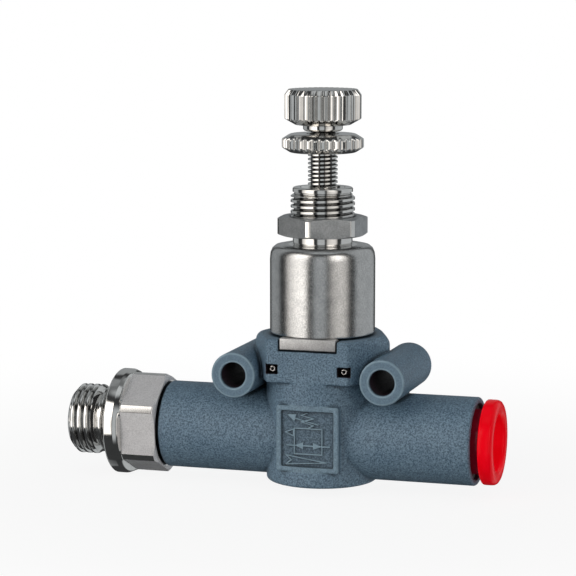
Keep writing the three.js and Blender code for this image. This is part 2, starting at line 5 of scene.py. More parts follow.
import bmesh
import bpy
import numpy as np
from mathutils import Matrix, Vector


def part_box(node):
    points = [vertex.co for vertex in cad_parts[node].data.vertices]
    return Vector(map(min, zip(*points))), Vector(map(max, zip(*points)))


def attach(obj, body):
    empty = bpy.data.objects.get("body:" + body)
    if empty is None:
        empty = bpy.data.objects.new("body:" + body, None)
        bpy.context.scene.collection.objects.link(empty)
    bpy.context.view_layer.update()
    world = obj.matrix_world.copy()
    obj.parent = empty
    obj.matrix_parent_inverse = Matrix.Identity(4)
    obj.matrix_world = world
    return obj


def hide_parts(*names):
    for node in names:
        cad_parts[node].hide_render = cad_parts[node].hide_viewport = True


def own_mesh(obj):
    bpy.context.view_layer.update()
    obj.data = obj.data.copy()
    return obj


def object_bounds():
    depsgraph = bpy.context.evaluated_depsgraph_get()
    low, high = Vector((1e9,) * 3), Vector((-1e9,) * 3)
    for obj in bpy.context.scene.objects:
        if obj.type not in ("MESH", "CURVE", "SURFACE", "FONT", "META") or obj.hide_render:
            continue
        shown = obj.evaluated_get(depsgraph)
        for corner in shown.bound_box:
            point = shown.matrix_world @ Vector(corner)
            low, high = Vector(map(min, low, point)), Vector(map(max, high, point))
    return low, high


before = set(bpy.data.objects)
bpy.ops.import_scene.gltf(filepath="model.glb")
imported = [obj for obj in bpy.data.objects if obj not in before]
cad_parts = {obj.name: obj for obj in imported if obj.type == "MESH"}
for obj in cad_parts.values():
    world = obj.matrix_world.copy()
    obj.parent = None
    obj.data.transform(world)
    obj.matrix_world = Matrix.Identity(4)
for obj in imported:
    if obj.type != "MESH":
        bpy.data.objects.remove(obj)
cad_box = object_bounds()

MM = 0.001

# Shapes are drawn about the crossing of the tube axis and the bonnet axis, this far above the base.
BASE_TO_AXIS = 8.5
LIFT = np.array([0.0, 0.0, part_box("valve_body")[0][2] / MM + BASE_TO_AXIS])


def corners(node):
    """Lowest and highest corner of a CAD node, in millimetres from the crossing of the axes."""
    low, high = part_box(node)
    return np.array(low) / MM - LIFT, np.array(high) / MM - LIFT


def ends_of(node, axis):
    low, high = corners(node)
    return low[axis], high[axis]


# ---------- sizes: outsides from the frame, details as values ----------

BODY_LOW, BODY_HIGH = corners("valve_body")
BONNET_LOW, BONNET_HIGH = ends_of("bonnet", 2)
NUT_LOW, NUT_HIGH = ends_of("panel_nut", 2)
SCREW_LOW, SCREW_HIGH = ends_of("adjusting_screw", 2)
KNOB_LOW, KNOB_HIGH = ends_of("knob", 2)
LOCK_LOW, LOCK_HIGH = ends_of("lock_nut", 2)
STUD_LEFT, STUD_RIGHT = ends_of("male_stud", 0)
COLLAR_LEFT, COLLAR_RIGHT = ends_of("release_collar", 0)
PIN_HALF = ends_of("bonnet_pin_right", 1)[1]

ARM_RADIUS = 8.05
TRUNK_RADIUS = 10.25
HEAD_FRONT, HEAD_SIDE, HEAD_DEPTH, HEAD_BOTTOM = 7.65, 13.05, 10.03, 10.6
LUG_X, LUG_Z, LUG_RADIUS, LUG_HOLE = 13.94, 11.65, 4.15, 2.35
LUG_Y_MIDDLE, LUG_Y_HALF = (BODY_LOW[1] + BODY_HIGH[1]) / 2, (BODY_HIGH[1] - BODY_LOW[1]) / 2
LABEL_HALF, LABEL_LOW, LABEL_TOP, LABEL_FACE = 5.84, -5.55, 6.6, 9.95
LABEL_BAND, LABEL_RECESS = 0.95, 0.5
PIN_X, PIN_Z, PIN_RADIUS = 6.7, 13.1, 0.62
TONGUE_HALF, TONGUE_REACH, TONGUE_LOW = 5.25, 9.95, 16.7
WINDOW_OUTER, WINDOW_FLOOR = 7.9, 7.4
BONNET_RADIUS, BONNET_RIM, BONNET_TOP = 9.63, 18.65, 34.95
NECK_CREST, NECK_ROOT, NECK_PITCH = 5.86, 5.22, 1.0
SCREW_CREST, SCREW_ROOT, SCREW_PITCH = 2.7, 2.14, 0.75
STUD_CREST, STUD_ROOT, STUD_PITCH = 6.58, 5.8, 1.337
FLANGE_LEFT, FLANGE_RIGHT, FLANGE_RADIUS = -39.7, -36.6, 9.86
RIB_LEFT, RIB_RIGHT, RIB_RADIUS = -42.05, -41.35, 6.4
HEX_RIGHT, HEX_FLATS, HEX_CORNER = -29.9, 16.9, 5.0
SNAP_LEFT, SNAP_RIGHT = -26.6, -25.4
COLLAR_FACE, COLLAR_RADIUS, COLLAR_BORE, COLLAR_SLEEVE = 30.75, 7.75, 5.12, 5.95


# ---------- mesh helpers ----------

def outline(points, count=1):
    """An open outline of (radius, height, rounding) corners; the first two may vary over the columns."""
    path = np.zeros((count, len(points), 2))
    for i, (radius, height, _) in enumerate(points):
        path[:, i, 0] = radius
        path[:, i, 1] = height
    return rounded(path, [p[2] for p in points])


def rounded(path, setbacks, steps=4):
    """Replaces each corner that has a setback by a short curve."""
    out = [path[:, :1]]
    share = np.linspace(0, 1, steps + 1)[None, :, None]
    for i in range(1, path.shape[1] - 1):
        corner = path[:, i]
        if not setbacks[i]:
            out.append(path[:, i : i + 1])
            continue
        ends = []
        for other in (path[:, i - 1], path[:, i + 1]):
            run = other - corner
            length = np.maximum(np.linalg.norm(run, axis=1, keepdims=True), 1e-9)
            ends.append(corner + run / length * np.minimum(setbacks[i], 0.45 * length))
        start, mid, end = ends[0][:, None], corner[:, None], ends[1][:, None]
        out.append((1 - share) ** 2 * start + 2 * share * (1 - share) * mid + share**2 * end)
    out.append(path[:, -1:])
    return np.concatenate(out, axis=1)


def grid_quads(rows, columns, closed_rows=False, closed_columns=False):
    """Quads between neighbouring points of a grid, closed round on itself where asked."""
    i, j = np.meshgrid(
        np.arange(rows if closed_rows else rows - 1),
        np.arange(columns if closed_columns else columns - 1),
        indexing="ij",
    )
    below, beside = (i + 1) % rows, (j + 1) % columns
    corner_rows, corner_columns = (i, below, below, i), (j, j, beside, beside)
    quads = [row * columns + column for row, column in zip(corner_rows, corner_columns)]
    return np.stack(quads, axis=-1).reshape(-1, 4)


def turned(points, count=96):
    """A surface of revolution about Z through an outline of (radius, height, rounding) corners."""
    path = outline(points, count)
    angle = (2 * np.pi * np.arange(count) / count)[:, None]
    verts = np.stack([path[..., 0] * np.cos(angle), path[..., 0] * np.sin(angle), path[..., 1]], axis=-1)
    return verts.reshape(-1, 3), grid_quads(count, path.shape[1], closed_rows=True)


def thread(low, high, end_radius, crest, root, pitch, count, slope, flank_share=0.26, rows=16):
    """A right-hand thread on Z as an open sleeve; cones bring it down to a plain circle at both ends."""
    total = rows * int(math.ceil((high - low) / pitch + 2))
    turn = np.arange(count)[:, None] / count
    step = np.arange(total + 1)[None, :] / rows
    z = np.clip(low + pitch * (step + turn - 1), low, high)
    away = np.abs(step - np.round(step))
    flank = np.clip((0.46 - away) / flank_share, 0, 1)
    flank = 0.3 * flank + 0.7 * flank * flank * (3 - 2 * flank)
    radius = root + (crest - root) * flank + 0 * turn
    radius = np.minimum(radius, end_radius + slope * np.minimum(z - low, high - z))
    angle = 2 * np.pi * turn
    verts = np.stack([radius * np.cos(angle), radius * np.sin(angle), z], axis=-1)
    j = np.arange(total - rows)
    last = (count - 1) * (total + 1)
    seam = np.stack([last + j, j + rows, j + rows + 1, last + j + 1], axis=-1)
    return verts.reshape(-1, 3), np.concatenate([grid_quads(count, total + 1), seam])


def along_x(part):
    """Lays a part made along Z down along X, at the same stations."""
    verts, faces = part
    return np.stack([verts[:, 2], verts[:, 1], -verts[:, 0]], axis=-1), faces


def along_y(part, x=0.0, z=0.0):
    """Lays a part made along Z down along Y, at the given place."""
    verts, faces = part
    return np.stack([verts[:, 0] + x, verts[:, 2], z - verts[:, 1]], axis=-1), faces


def mesh_from(name, verts, quads):
    mesh = bpy.data.meshes.new(name)
    mesh.vertices.add(len(verts))
    mesh.vertices.foreach_set("co", ((np.asarray(verts) + LIFT) * MM).astype(np.float32).ravel())
    mesh.loops.add(quads.size)
    mesh.loops.foreach_set("vertex_index", quads.astype(np.int32).ravel())
    mesh.polygons.add(len(quads))
    mesh.polygons.foreach_set("loop_start", np.arange(0, quads.size, 4, dtype=np.int32))
    mesh.polygons.foreach_set("loop_total", np.full(len(quads), 4, np.int32))
    mesh.update(calc_edges=True)
    return mesh


def piece(name, parts, material, body, node=None, sharp=32.0):
    """Joins and welds open parts into one closed piece and finishes it."""
    verts = np.concatenate([v for v, _ in parts])
    starts = np.cumsum([0] + [len(v) for v, _ in parts[:-1]])
    quads = np.concatenate([f + s for (_, f), s in zip(parts, starts)])
    mesh = mesh_from(name, verts, quads)
    work = bmesh.new()
    work.from_mesh(mesh)
    bmesh.ops.remove_doubles(work, verts=work.verts, dist=2e-7)
    bmesh.ops.recalc_face_normals(work, faces=work.faces)
    work.to_mesh(mesh)
    work.free()
    return finished(name, mesh, material, body, node, sharp)


def finished(name, mesh, material, body, node, sharp=32.0):
    """Gives a mesh its shading and material, and lets it ride on its body in place of a CAD node."""
    obj = bpy.data.objects.new(name, mesh)
    bpy.context.scene.collection.objects.link(obj)
    mesh.polygons.foreach_set("use_smooth", np.ones(len(mesh.polygons), bool))
    if sharp:
        mesh.set_sharp_from_angle(angle=math.radians(sharp))
    mesh.materials.append(MATERIALS[material])
    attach(obj, body)
    if node:
        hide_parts(node)
    return obj


# ---------- materials ----------

class Wiring:
    """What the builders of material and world node trees share; a source is an output or a plain value."""

    def put(self, source, socket):
        if hasattr(source, "is_linked"):
            self.tree.links.new(source, socket)
        else:
            socket.default_value = source

    def fill(self, node, **sources):
        """Feeds a node's inputs by name, with _ for a space."""
        for key, source in sources.items():
            self.put(source, node.inputs[key.replace("_", " ")])
        return node

    def new(self, kind, **sources):
        return self.fill(self.tree.nodes.new("ShaderNode" + kind), **sources)

    def fed(self, kind, sources, operation=None):
        """A node whose inputs are fed in their order."""
        node = self.new(kind)
        if operation:
            node.operation = operation
        for socket, source in zip(node.inputs, sources):
            self.put(source, socket)
        return node

    def math(self, operation, a, b=0.0, c=0.0):
        return self.fed("Math", (a, b, c), operation).outputs[0]

    def times(self, a, b):
        return self.math("MULTIPLY", a, b)

    def add(self, a, b):
        return self.math("ADD", a, b)

    def ramp(self, value, low, high, start=0.3, stop=0.7, smooth=False):
        """Goes from low to high while the value goes from start to stop."""
        node = self.new("MapRange", Value=value, From_Min=start, From_Max=stop, To_Min=low, To_Max=high)
        if smooth:
            node.interpolation_type = "SMOOTHSTEP"
        return node.outputs["Result"]


class Nodes(Wiring):
    """A small builder for one material's node tree; lengths and scales are in millimetres."""

    def __init__(self, name):
        self.material = bpy.data.materials.new(name)
        self.material.use_nodes = True
        self.tree = self.material.node_tree
        self.shader = self.tree.nodes["Principled BSDF"]
        self.place = self.new("TexCoord").outputs["Object"]

    def noise(self, per_mm, detail=3.0, roughness=0.55, place=None):
        place = place or self.place
        node = self.new("TexNoise", Scale=per_mm / MM, Detail=detail, Roughness=roughness, Vector=place)
        return node.outputs["Fac"]

    def stretched(self, per_mm, squeeze):
        """Noise drawn out along one or two axes, for drawing and turning marks."""
        mapping = self.new("Mapping", Scale=squeeze, Vector=self.place)
        return self.noise(per_mm, 3.0, 0.5, mapping.outputs["Vector"])

    def colours(self, value, dark, light, start=0.3, stop=0.7):
        node = self.new("ValToRGB", Fac=value)
        for element, position, colour in zip(node.color_ramp.elements, (start, stop), (dark, light)):
            element.position = position
            element.color = (*colour, 1)
        return node.outputs["Color"]

    def mix(self, share, a, b):
        """Colour a where the share is 0 and b where it is 1; without a share, their product."""
        node = self.new("Mix")
        node.data_type = "RGBA"
        if share is None:
            node.blend_type = "MULTIPLY"
            share = 1.0
        return self.fill(node, Factor=share, A=a, B=b).outputs["Result"]

    def bump(self, height, depth_mm, strength=1.0, below=None):
        node = self.new("Bump", Strength=strength, Distance=depth_mm * MM, Height=height)
        if below:
            self.fill(node, Normal=below)
        return node.outputs["Normal"]

    def coordinates(self):
        """Where a point lies from the crossing of the axes, in millimetres."""
        split = self.new("SeparateXYZ", Vector=self.place)
        pairs = zip(split.outputs, LIFT)
        return [self.math("MULTIPLY_ADD", out, 1 / MM, -float(lift)) for out, lift in pairs]

    def distance(self, a, b):
        return self.math("SQRT", self.add(self.times(a, a), self.times(b, b)))

    def edges(self, radius_mm):
        """How much of an edge a point sits on, from a bevelled normal against the true one."""
        bevel = self.new("Bevel", Radius=radius_mm * MM)
        bevel.samples = 4
        normals = (bevel.outputs["Normal"], self.new("NewGeometry").outputs["Normal"])
        dot = self.fed("VectorMath", normals, "DOT_PRODUCT")
        return self.ramp(dot.outputs["Value"], 1.0, 0.0, 0.86, 0.995)

    def crease_shade(self, reach_mm, darkest, start=0.35, stop=0.9):
        """Painted shade from ambient occlusion: 1 out on a face, down to the given value deep in a crease or
        groove.
        """
        node = self.new("AmbientOcclusion", Distance=reach_mm * MM)
        node.samples = 6
        return self.ramp(node.outputs["AO"], darkest, 1.0, start, stop)

    def shade(self, colour, openness):
        """Multiplies a colour by a plain value."""
        return self.mix(None, colour, self.fed("CombineColor", (openness,) * 3).outputs[0])

    def within(self, value, low, high, soft=0.06):
        """1 between two values, falling to 0 outside them."""
        middle, half = (low + high) / 2, (high - low) / 2
        away = self.math("ABSOLUTE", self.math("SUBTRACT", value, middle))
        return self.ramp(away, 1.0, 0.0, half - soft, half + soft)

    def all_of(self, *masks):
        out = masks[0]
        for mask in masks[1:]:
            out = self.times(out, mask)
        return out

    def set(self, **sources):
        self.fill(self.shader, **sources)
        return self.material


def on_label(n, across, y, z):
    """Masks for the painted highlight on the label's raised tops and for the painted shade on the floor
    between them.
    """
    on_panel = n.all_of(
        n.ramp(across, 1.0, 0.0, LABEL_HALF + 0.1, LABEL_HALF + 0.3),
        n.ramp(y, 1.0, 0.0, -9.2, -8.9),
        n.within(z, LABEL_LOW - 0.1, LABEL_TOP + 0.1),
    )
    floor, face = LABEL_RECESS - LABEL_FACE, -LABEL_FACE
    strokes = n.ramp(y, 0.8, 0.0, floor - 0.22, floor - 0.08)
    not_frame = n.ramp(y, 0.45, 1.0, face + 0.02, face + 0.15)
    sunk_shade = n.ramp(y, 0.0, 1.0, floor - 0.12, floor - 0.05)
    return n.all_of(on_panel, strokes, not_frame), n.all_of(on_panel, sunk_shade)


def lug_frame(n, across, y, z):
    """How far a point lies from a lug's axis, and how far past its end faces."""
    radius = n.distance(n.math("SUBTRACT", across, LUG_X), n.math("SUBTRACT", z, LUG_Z))
    from_middle = n.math("ABSOLUTE", n.math("SUBTRACT", y, LUG_Y_MIDDLE))
    return radius, n.math("SUBTRACT", from_middle, LUG_Y_HALF)


def moulded_plastic(name):
    """Grey-blue glass-filled nylon with a spark-eroded grain; painted shade darkens it down inside its bores,
    pin windows, creases and label recess, and painted highlights lighten its edges, label tops and lug rims.
    """
    n = Nodes(name)
    grain = n.noise(3.4, 2.0, 0.62)
    fine = n.noise(6.5, 2.0)
    cloud = n.noise(0.16, 2.0)
    speck = n.colours(grain, (0.076, 0.128, 0.182), (0.222, 0.340, 0.446), 0.37, 0.65)
    base = n.mix(None, speck, n.colours(cloud, (0.92, 0.94, 0.96), (1.05, 1.03, 1.02)))
    # Painted highlight colour, used on edges, the label's raised tops and frame, and the lug rims.
    painted_highlight = n.colours(n.noise(0.9, 4.0), (0.24, 0.35, 0.43), (0.32, 0.45, 0.54))
    even = n.colours(fine, (0.130, 0.212, 0.285), (0.168, 0.262, 0.345))
    # Painted shade colour for the insides of the lug bores and the pin windows.
    dark = n.colours(cloud, (0.030, 0.018, 0.028), (0.044, 0.028, 0.038))
    # Painted highlight along the rounded edges.
    colour = n.mix(n.ramp(n.edges(0.18), 0.0, 0.75, 0.15, 0.9), base, painted_highlight)
    x, y, z = n.coordinates()
    across, deep = n.math("ABSOLUTE", x), n.math("ABSOLUTE", y)
    raised, sunk_shade = on_label(n, across, y, z)
    # Painted highlight on the label's raised strokes and frame, and painted shade on its recess floor.
    colour = n.mix(raised, n.shade(colour, n.ramp(sunk_shade, 1.0, 0.72, 0.0, 1.0)), painted_highlight)
    lug, past_end = lug_frame(n, across, y, z)
    lug_end = n.times(
        n.ramp(past_end, 0.0, 1.0, -0.2, -0.06),
        n.ramp(lug, 0.65, 0.0, LUG_RADIUS, LUG_RADIUS + 0.3),
    )
    colour = n.mix(lug_end, colour, even)
    # Painted highlight rings round the mouths of the lug bores and the outer rims of the lug ends.
    rim_highlights = n.math(
        "MAXIMUM",
        n.within(lug, LUG_HOLE + 0.02, LUG_HOLE + 0.36, 0.1),
        n.within(lug, LUG_RADIUS - 0.34, LUG_RADIUS + 0.1, 0.1),
    )
    colour = n.mix(n.all_of(rim_highlights, n.ramp(past_end, 0.0, 0.85, -0.4, -0.15)), colour, painted_highlight)
    in_lug = n.all_of(
        n.ramp(lug, 1.0, 0.0, LUG_HOLE + 0.02, LUG_HOLE + 0.3),
        n.ramp(past_end, 1.0, 0.0, -0.9, -0.3),
    )
    in_window = n.all_of(
        n.within(across, 5.45, WINDOW_OUTER + 0.1),
        n.within(z, PIN_Z - 1.0, PIN_Z + 1.0),
        n.ramp(deep, 1.0, 0.0, HEAD_DEPTH - 0.35, HEAD_DEPTH - 0.12),
    )
    # Painted shade inside the lug bores and the pin windows.
    colour = n.mix(n.math("MAXIMUM", in_lug, in_window), colour, dark)
    # Painted shade: colour darkened in creases, junctions and recesses by ambient occlusion.
    colour = n.shade(colour, n.crease_shade(0.9, 0.25, 0.42, 0.985))
    normal = n.bump(grain, 0.11, 0.85, n.bump(fine, 0.02, 0.6))
    rough = n.ramp(grain, 0.36, 0.62)
    return n.set(Base_Color=colour, Roughness=rough, Normal=normal, Specular_IOR_Level=0.45)


def nickel(n, dark, light, rough_low, rough_high, grain_depth, edge_highlight):
    """Plated metal with clouds, a fine grain, painted highlights on its edges and painted shade in its
    grooves: colour, roughness, normal.
    """
    base = n.colours(n.noise(0.5, 4.0), dark, light)
    base = n.shade(base, n.ramp(n.noise(4.2, 2.0), 1 - 6 * grain_depth, 1 + 4 * grain_depth, 0.36, 0.64))
    bright = n.colours(n.noise(2.0, 2.0), edge_highlight, tuple(min(1.0, c * 1.08) for c in edge_highlight))
    # Painted highlight along the edges.
    colour = n.mix(n.ramp(n.edges(0.12), 0.0, 0.6, 0.2, 1.0), base, bright)
    # Painted shade in grooves and creases, from ambient occlusion.
    colour = n.shade(colour, n.crease_shade(0.5, 0.14, 0.28, 0.85))
    rough = n.ramp(n.noise(1.4, 5.0), rough_low, rough_high)
    return colour, rough, n.bump(n.noise(7.0, 2.0), grain_depth, 0.6)


# Finishes: dark and light tone, lowest and highest roughness, grain depth, tone of the painted highlight on
# the edges.
BRIGHT = ((0.78, 0.77, 0.75), (0.92, 0.905, 0.88), 0.05, 0.10, 0.003, (0.97, 0.95, 0.91))
SATIN = ((0.57, 0.57, 0.565), (0.68, 0.675, 0.665), 0.16, 0.24, 0.02, (0.80, 0.79, 0.77))
SPANNER = ((0.78, 0.77, 0.78), (0.86, 0.85, 0.86), 0.45, 0.55, 0.02, (0.98, 0.96, 0.92))
DULL = ((0.36, 0.375, 0.385), (0.50, 0.515, 0.525), 0.32, 0.42, 0.03, (0.84, 0.82, 0.79))
PLATE = ((0.62, 0.61, 0.605), (0.74, 0.735, 0.73), 0.45, 0.55, 0.02, (0.90, 0.86, 0.82))
PIN = ((0.74, 0.70, 0.67), (0.92, 0.88, 0.85), 0.25, 0.35, 0.004, (0.98, 0.96, 0.92))


def plated(name, finish):
    n = Nodes(name)
    colour, rough, normal = nickel(n, *finish)
    return n.set(Base_Color=colour, Metallic=1.0, Roughness=rough, Normal=normal)


def plated_in_two(name, inner, outer, pick, metal=1.0):
    """Two finishes on one piece: the mask is 1 where the inner one shows, and that one may be part metal."""
    n = Nodes(name)
    first, second = nickel(n, *inner), nickel(n, *outer)
    mask = pick(n, *n.coordinates())
    other = n.math("SUBTRACT", 1.0, mask)
    rough = n.add(n.times(mask, first[1]), n.times(other, second[1]))
    share = n.math("MULTIPLY_ADD", mask, metal - 1.0, 1.0)
    colour, normal = (n.mix(mask, second[k], first[k]) for k in (0, 2))
    return n.set(Base_Color=colour, Metallic=share, Roughness=rough, Normal=normal)


def on_nut_flats(n, x, y, z):
    return n.ramp(n.distance(x, y), 1.0, 0.0, 8.24, 8.28)


def on_stud_flats(n, x, y, z):
    around = n.distance(y, z)
    return n.all_of(
        n.within(x, FLANGE_RIGHT + 0.05, HEX_RIGHT + 0.2),
        n.ramp(around, 1.0, 0.0, 9.34, 9.38),
        n.ramp(around, 0.0, 1.0, 8.0, 8.2),
    )


def on_bonnet_cup(n, x, y, z):
    return n.ramp(n.distance(x, y), 0.0, 1.0, 6.1, 6.4)


def drawn_steel(name):
    n = Nodes(name)
    lines = n.stretched(3.0, (1.0, 1.0, 7.0))
    colour = n.colours(lines, (0.30, 0.31, 0.32), (0.56, 0.57, 0.58))
    rough = n.ramp(n.noise(1.2, 4.0), 0.22, 0.36)
    return n.set(Base_Color=colour, Metallic=1.0, Roughness=rough, Normal=n.bump(lines, 0.006, 0.5))


def turned_brass(name):
    n = Nodes(name)
    marks = n.stretched(2.0, (0.6, 0.6, 8.0))
    colour = n.colours(marks, (0.56, 0.40, 0.16), (0.76, 0.60, 0.30))
    rough = n.ramp(n.noise(1.5), 0.24, 0.38)
    return n.set(Base_Color=colour, Metallic=1.0, Roughness=rough, Normal=n.bump(marks, 0.005, 0.5))


def red_plastic(name):
    """Glossy red with a painted glow from emission and a painted highlight on its edges, deeper in tone on
    the sleeve that runs into the body.
    """
    n = Nodes(name)
    flow = n.noise(0.35, 3.0)
    colour = n.colours(flow, (0.78, 0.001, 0.007), (0.90, 0.002, 0.012))
    # Painted highlight colour for the edges.
    lip_highlight = n.colours(flow, (0.88, 0.07, 0.07), (0.94, 0.12, 0.10))
    colour = n.mix(n.ramp(n.edges(0.1), 0.0, 0.55, 0.3, 1.0), colour, lip_highlight)
    x, y, z = n.coordinates()
    sleeve = n.colours(flow, (0.10, 0.002, 0.008), (0.16, 0.004, 0.012))
    around = n.distance(y, z)
    on_sleeve = n.all_of(
        n.ramp(around, 1.0, 0.0, 6.2, 7.6),
        n.ramp(around, 0.0, 1.0, 5.5, 5.7),
        n.ramp(x, 1.0, 0.0, COLLAR_FACE, COLLAR_FACE + 0.15),
    )
    colour = n.mix(on_sleeve, colour, sleeve)
    normal = n.bump(n.noise(1.2, 3.0), 0.02, 0.35, n.bump(n.noise(8.0), 0.004, 0.4))
    return n.set(
        Base_Color=colour, Roughness=n.ramp(n.noise(2.2), 0.12, 0.2), Normal=normal, Specular_IOR_Level=0.1,
        # Painted glow: the red emits light of its own colour, though it is no lamp.
        Emission_Color=colour, Emission_Strength=0.28,
        Subsurface_Weight=0.12, Subsurface_Scale=0.8 * MM, Subsurface_Radius=(1.0, 0.1, 0.08),
    )


def seal_rubber(name):
    n = Nodes(name)
    skin = n.noise(4.0, 4.0)
    colour = n.colours(skin, (0.012, 0.012, 0.013), (0.035, 0.035, 0.037))
    return n.set(Base_Color=colour, Roughness=n.ramp(skin, 0.5, 0.72), Normal=n.bump(skin, 0.012, 0.5))


def acetal(name, squeeze, dark, light, smoothest=0.35):
    """Turned acetal, its machining marks drawn out along the axes that are squeezed least."""
    n = Nodes(name)
    marks = n.stretched(1.5, squeeze)
    rough = n.ramp(marks, smoothest, 0.5)
    return n.set(Base_Color=n.colours(marks, dark, light), Roughness=rough, Normal=n.bump(marks, 0.006, 0.5))


# Each material's name and its slot in the exported part, then how it is made.
MATERIALS, SLOTS = {}, {}
for name, slot, build, *details in (
    ("moulded_plastic", "moulded_plastic", moulded_plastic),
    ("bright_nickel", "bright_nickel", plated, BRIGHT),
    ("plate_nickel", "satin_nickel", plated, PLATE),
    ("bonnet_nickel", "satin_nickel", plated_in_two, SATIN, BRIGHT, on_bonnet_cup),
    ("nut_nickel", "satin_nickel", plated_in_two, DULL, BRIGHT, on_nut_flats, 0.7),
    ("stud_nickel", "bright_nickel", plated_in_two, SPANNER, BRIGHT, on_stud_flats, 0.45),
    ("pin_steel", "spring_steel", plated, PIN),
    ("drawn_steel", "spring_steel", drawn_steel),
    ("turned_brass", "brass", turned_brass),
    ("red_plastic", "red_plastic", red_plastic),
    ("seal_rubber", "rubber", seal_rubber),
    ("natural_acetal", "acetal", acetal, (0.7, 0.7, 6.0), (0.60, 0.58, 0.52), (0.78, 0.76, 0.70), 0.34),
    ("black_acetal", "black_acetal", acetal, (6.0, 0.7, 0.7), (0.008, 0.008, 0.009), (0.022, 0.022, 0.024)),
):
    MATERIALS[name] = build(name, *details)
    SLOTS[name] = slot


# ---------- the moulded body, as a distance field ----------

def join(a, b, blend):
    """The union of two fields, with a fillet where they meet."""
    share = np.clip(0.5 + 0.5 * (b - a) / blend, 0, 1)
    return b + (a - b) * share - blend * share * (1 - share)


def cut(a, b, blend):
    """Field a with field b taken away, with its new edges eased."""
    return -join(-a, b, blend)


def common(a, b, blend):
    return -join(-a, -b, blend)


def capped(across, along, edge):
    """A solid from its section field and its length field, with its end edges rounded."""
    u, v = across + edge, along + edge
    return np.minimum(np.maximum(u, v), 0) + np.hypot(np.maximum(u, 0), np.maximum(v, 0)) - edge


def length_field(value, low, high):
    return np.abs(value - (low + high) / 2) - (high - low) / 2


def head_field(x, y, z):
    """The head: a flat-fronted block whose sides slant back, softer round its upper corners."""
    ax, ay = np.abs(x), np.abs(y)
    run = np.array([HEAD_SIDE - HEAD_FRONT, 0.6 - HEAD_DEPTH])
    normal = np.array([-run[1], run[0]]) / np.hypot(*run)
    slant = (ax - HEAD_FRONT) * normal[0] + (ay - HEAD_DEPTH) * normal[1]
    plan = common(ay - HEAD_DEPTH, slant, 0.35)
    plan = common(plan, ax - HEAD_SIDE, 1.6)
    share = np.clip((ax - 9.0) / 3.2, 0, 1)
    top_edge = 0.45 + 1.25 * share * share * (3 - 2 * share)
    middle = (HEAD_BOTTOM + BODY_HIGH[2]) / 2
    edge = np.where(z > middle, top_edge, 0.4)
    return capped(plan, length_field(z, HEAD_BOTTOM, BODY_HIGH[2]), edge)


def outside_field(x, y, z):
    """The body's outer shape: trunk, arms, head, lugs with their webs, and the label's pad."""
    trunk = capped(np.hypot(x, y) - TRUNK_RADIUS, length_field(z, BODY_LOW[2], 12.0), 0.55)
    arms = capped(np.hypot(y, z) - ARM_RADIUS, length_field(x, BODY_LOW[0], BODY_HIGH[0]), 0.45)
    solid = join(trunk, arms, 0.14)
    solid = join(solid, head_field(x, y, z), 0.22)
    reach = length_field(y, BODY_LOW[1], BODY_HIGH[1])
    edge = np.where(y < 0, 0.3, 1.0)
    lugs = capped(np.hypot(np.abs(x) - LUG_X, z - LUG_Z) - LUG_RADIUS, reach, edge)
    web_sides = np.maximum(length_field(np.abs(x), 8.0, 12.0), length_field(y, 2.0, 6.0))
    webs = np.maximum(web_sides, length_field(z, 5.3, 11.0))
    solid = join(solid, np.minimum(lugs, webs), 0.3)
    across = common(np.abs(x) - LABEL_HALF, length_field(z, LABEL_LOW, LABEL_TOP), 0.6)
    pad = capped(across, length_field(y, -LABEL_FACE, -5.0), 0.28)
    return join(solid, pad, 0.14)


def stepped_bore(around, along, steps):
    """The union of coaxial bores, each given as (radius, low, high)."""
    bore = None
    for radius, low, high in steps:
        one = np.maximum(around - radius, length_field(along, low, high))
        bore = one if bore is None else np.minimum(bore, one)
    return bore


def body_field(x, y, z):
    """Signed distance to the body: negative inside its plastic."""
    ax = np.abs(x)
    far = 60.0
    rows = length_field(z, LABEL_LOW + LABEL_BAND, LABEL_TOP - LABEL_BAND)
    recess = common(ax - (LABEL_HALF - LABEL_BAND), rows, 0.25)
    solid = cut(outside_field(x, y, z), np.maximum(recess, y + LABEL_FACE - LABEL_RECESS), 0.22)
    upright = [(4.2, -7.0, 0.0), (5.6, -1.7, 2.0), (6.5, 1.3, 10.0), (7.65, 9.8, far)]
    solid = cut(solid, stepped_bore(np.hypot(x, y), z, upright), 0.15)
    inlet = [(5.6, -far, -17.5), (6.2, SNAP_LEFT, SNAP_RIGHT)]
    socket = [(5.1, 14.0, 20.0), (6.9, 19.5, far)]
    for steps in (inlet, socket):
        solid = cut(solid, stepped_bore(np.hypot(y, z), x, steps), 0.2)
    passages = np.minimum(
        stepped_bore(np.hypot(y, z + 3.9), x, [(1.55, -18.5, -3.4)]),
        stepped_bore(np.hypot(y, z - 3.2), x, [(1.55, 5.5, 15.0)]),
    )
    solid = cut(solid, passages, 0.15)
    notch = np.maximum(ax - TONGUE_HALF - 0.22, TONGUE_LOW - 0.24 - z)
    solid = cut(solid, notch, 0.3)
    windows = np.maximum(length_field(ax, 5.55, WINDOW_OUTER), WINDOW_FLOOR - np.abs(y))
    windows = common(windows, np.abs(z - PIN_Z) - 0.9, 0.2)
    solid = cut(solid, windows, 0.16)
    solid = cut(solid, np.hypot(ax - PIN_X, z - PIN_Z) - 0.68, 0.12)
    return cut(solid, np.hypot(ax - LUG_X, z - LUG_Z) - LUG_HOLE, 0.3)


def ends(values, axis, rest):
    """A grid's values at the lower and the upper ends of its lines along one axis."""
    low, high = [rest] * 3, [rest] * 3
    low[axis], high[axis] = slice(None, -1), slice(1, None)
    return values[tuple(low)], values[tuple(high)]


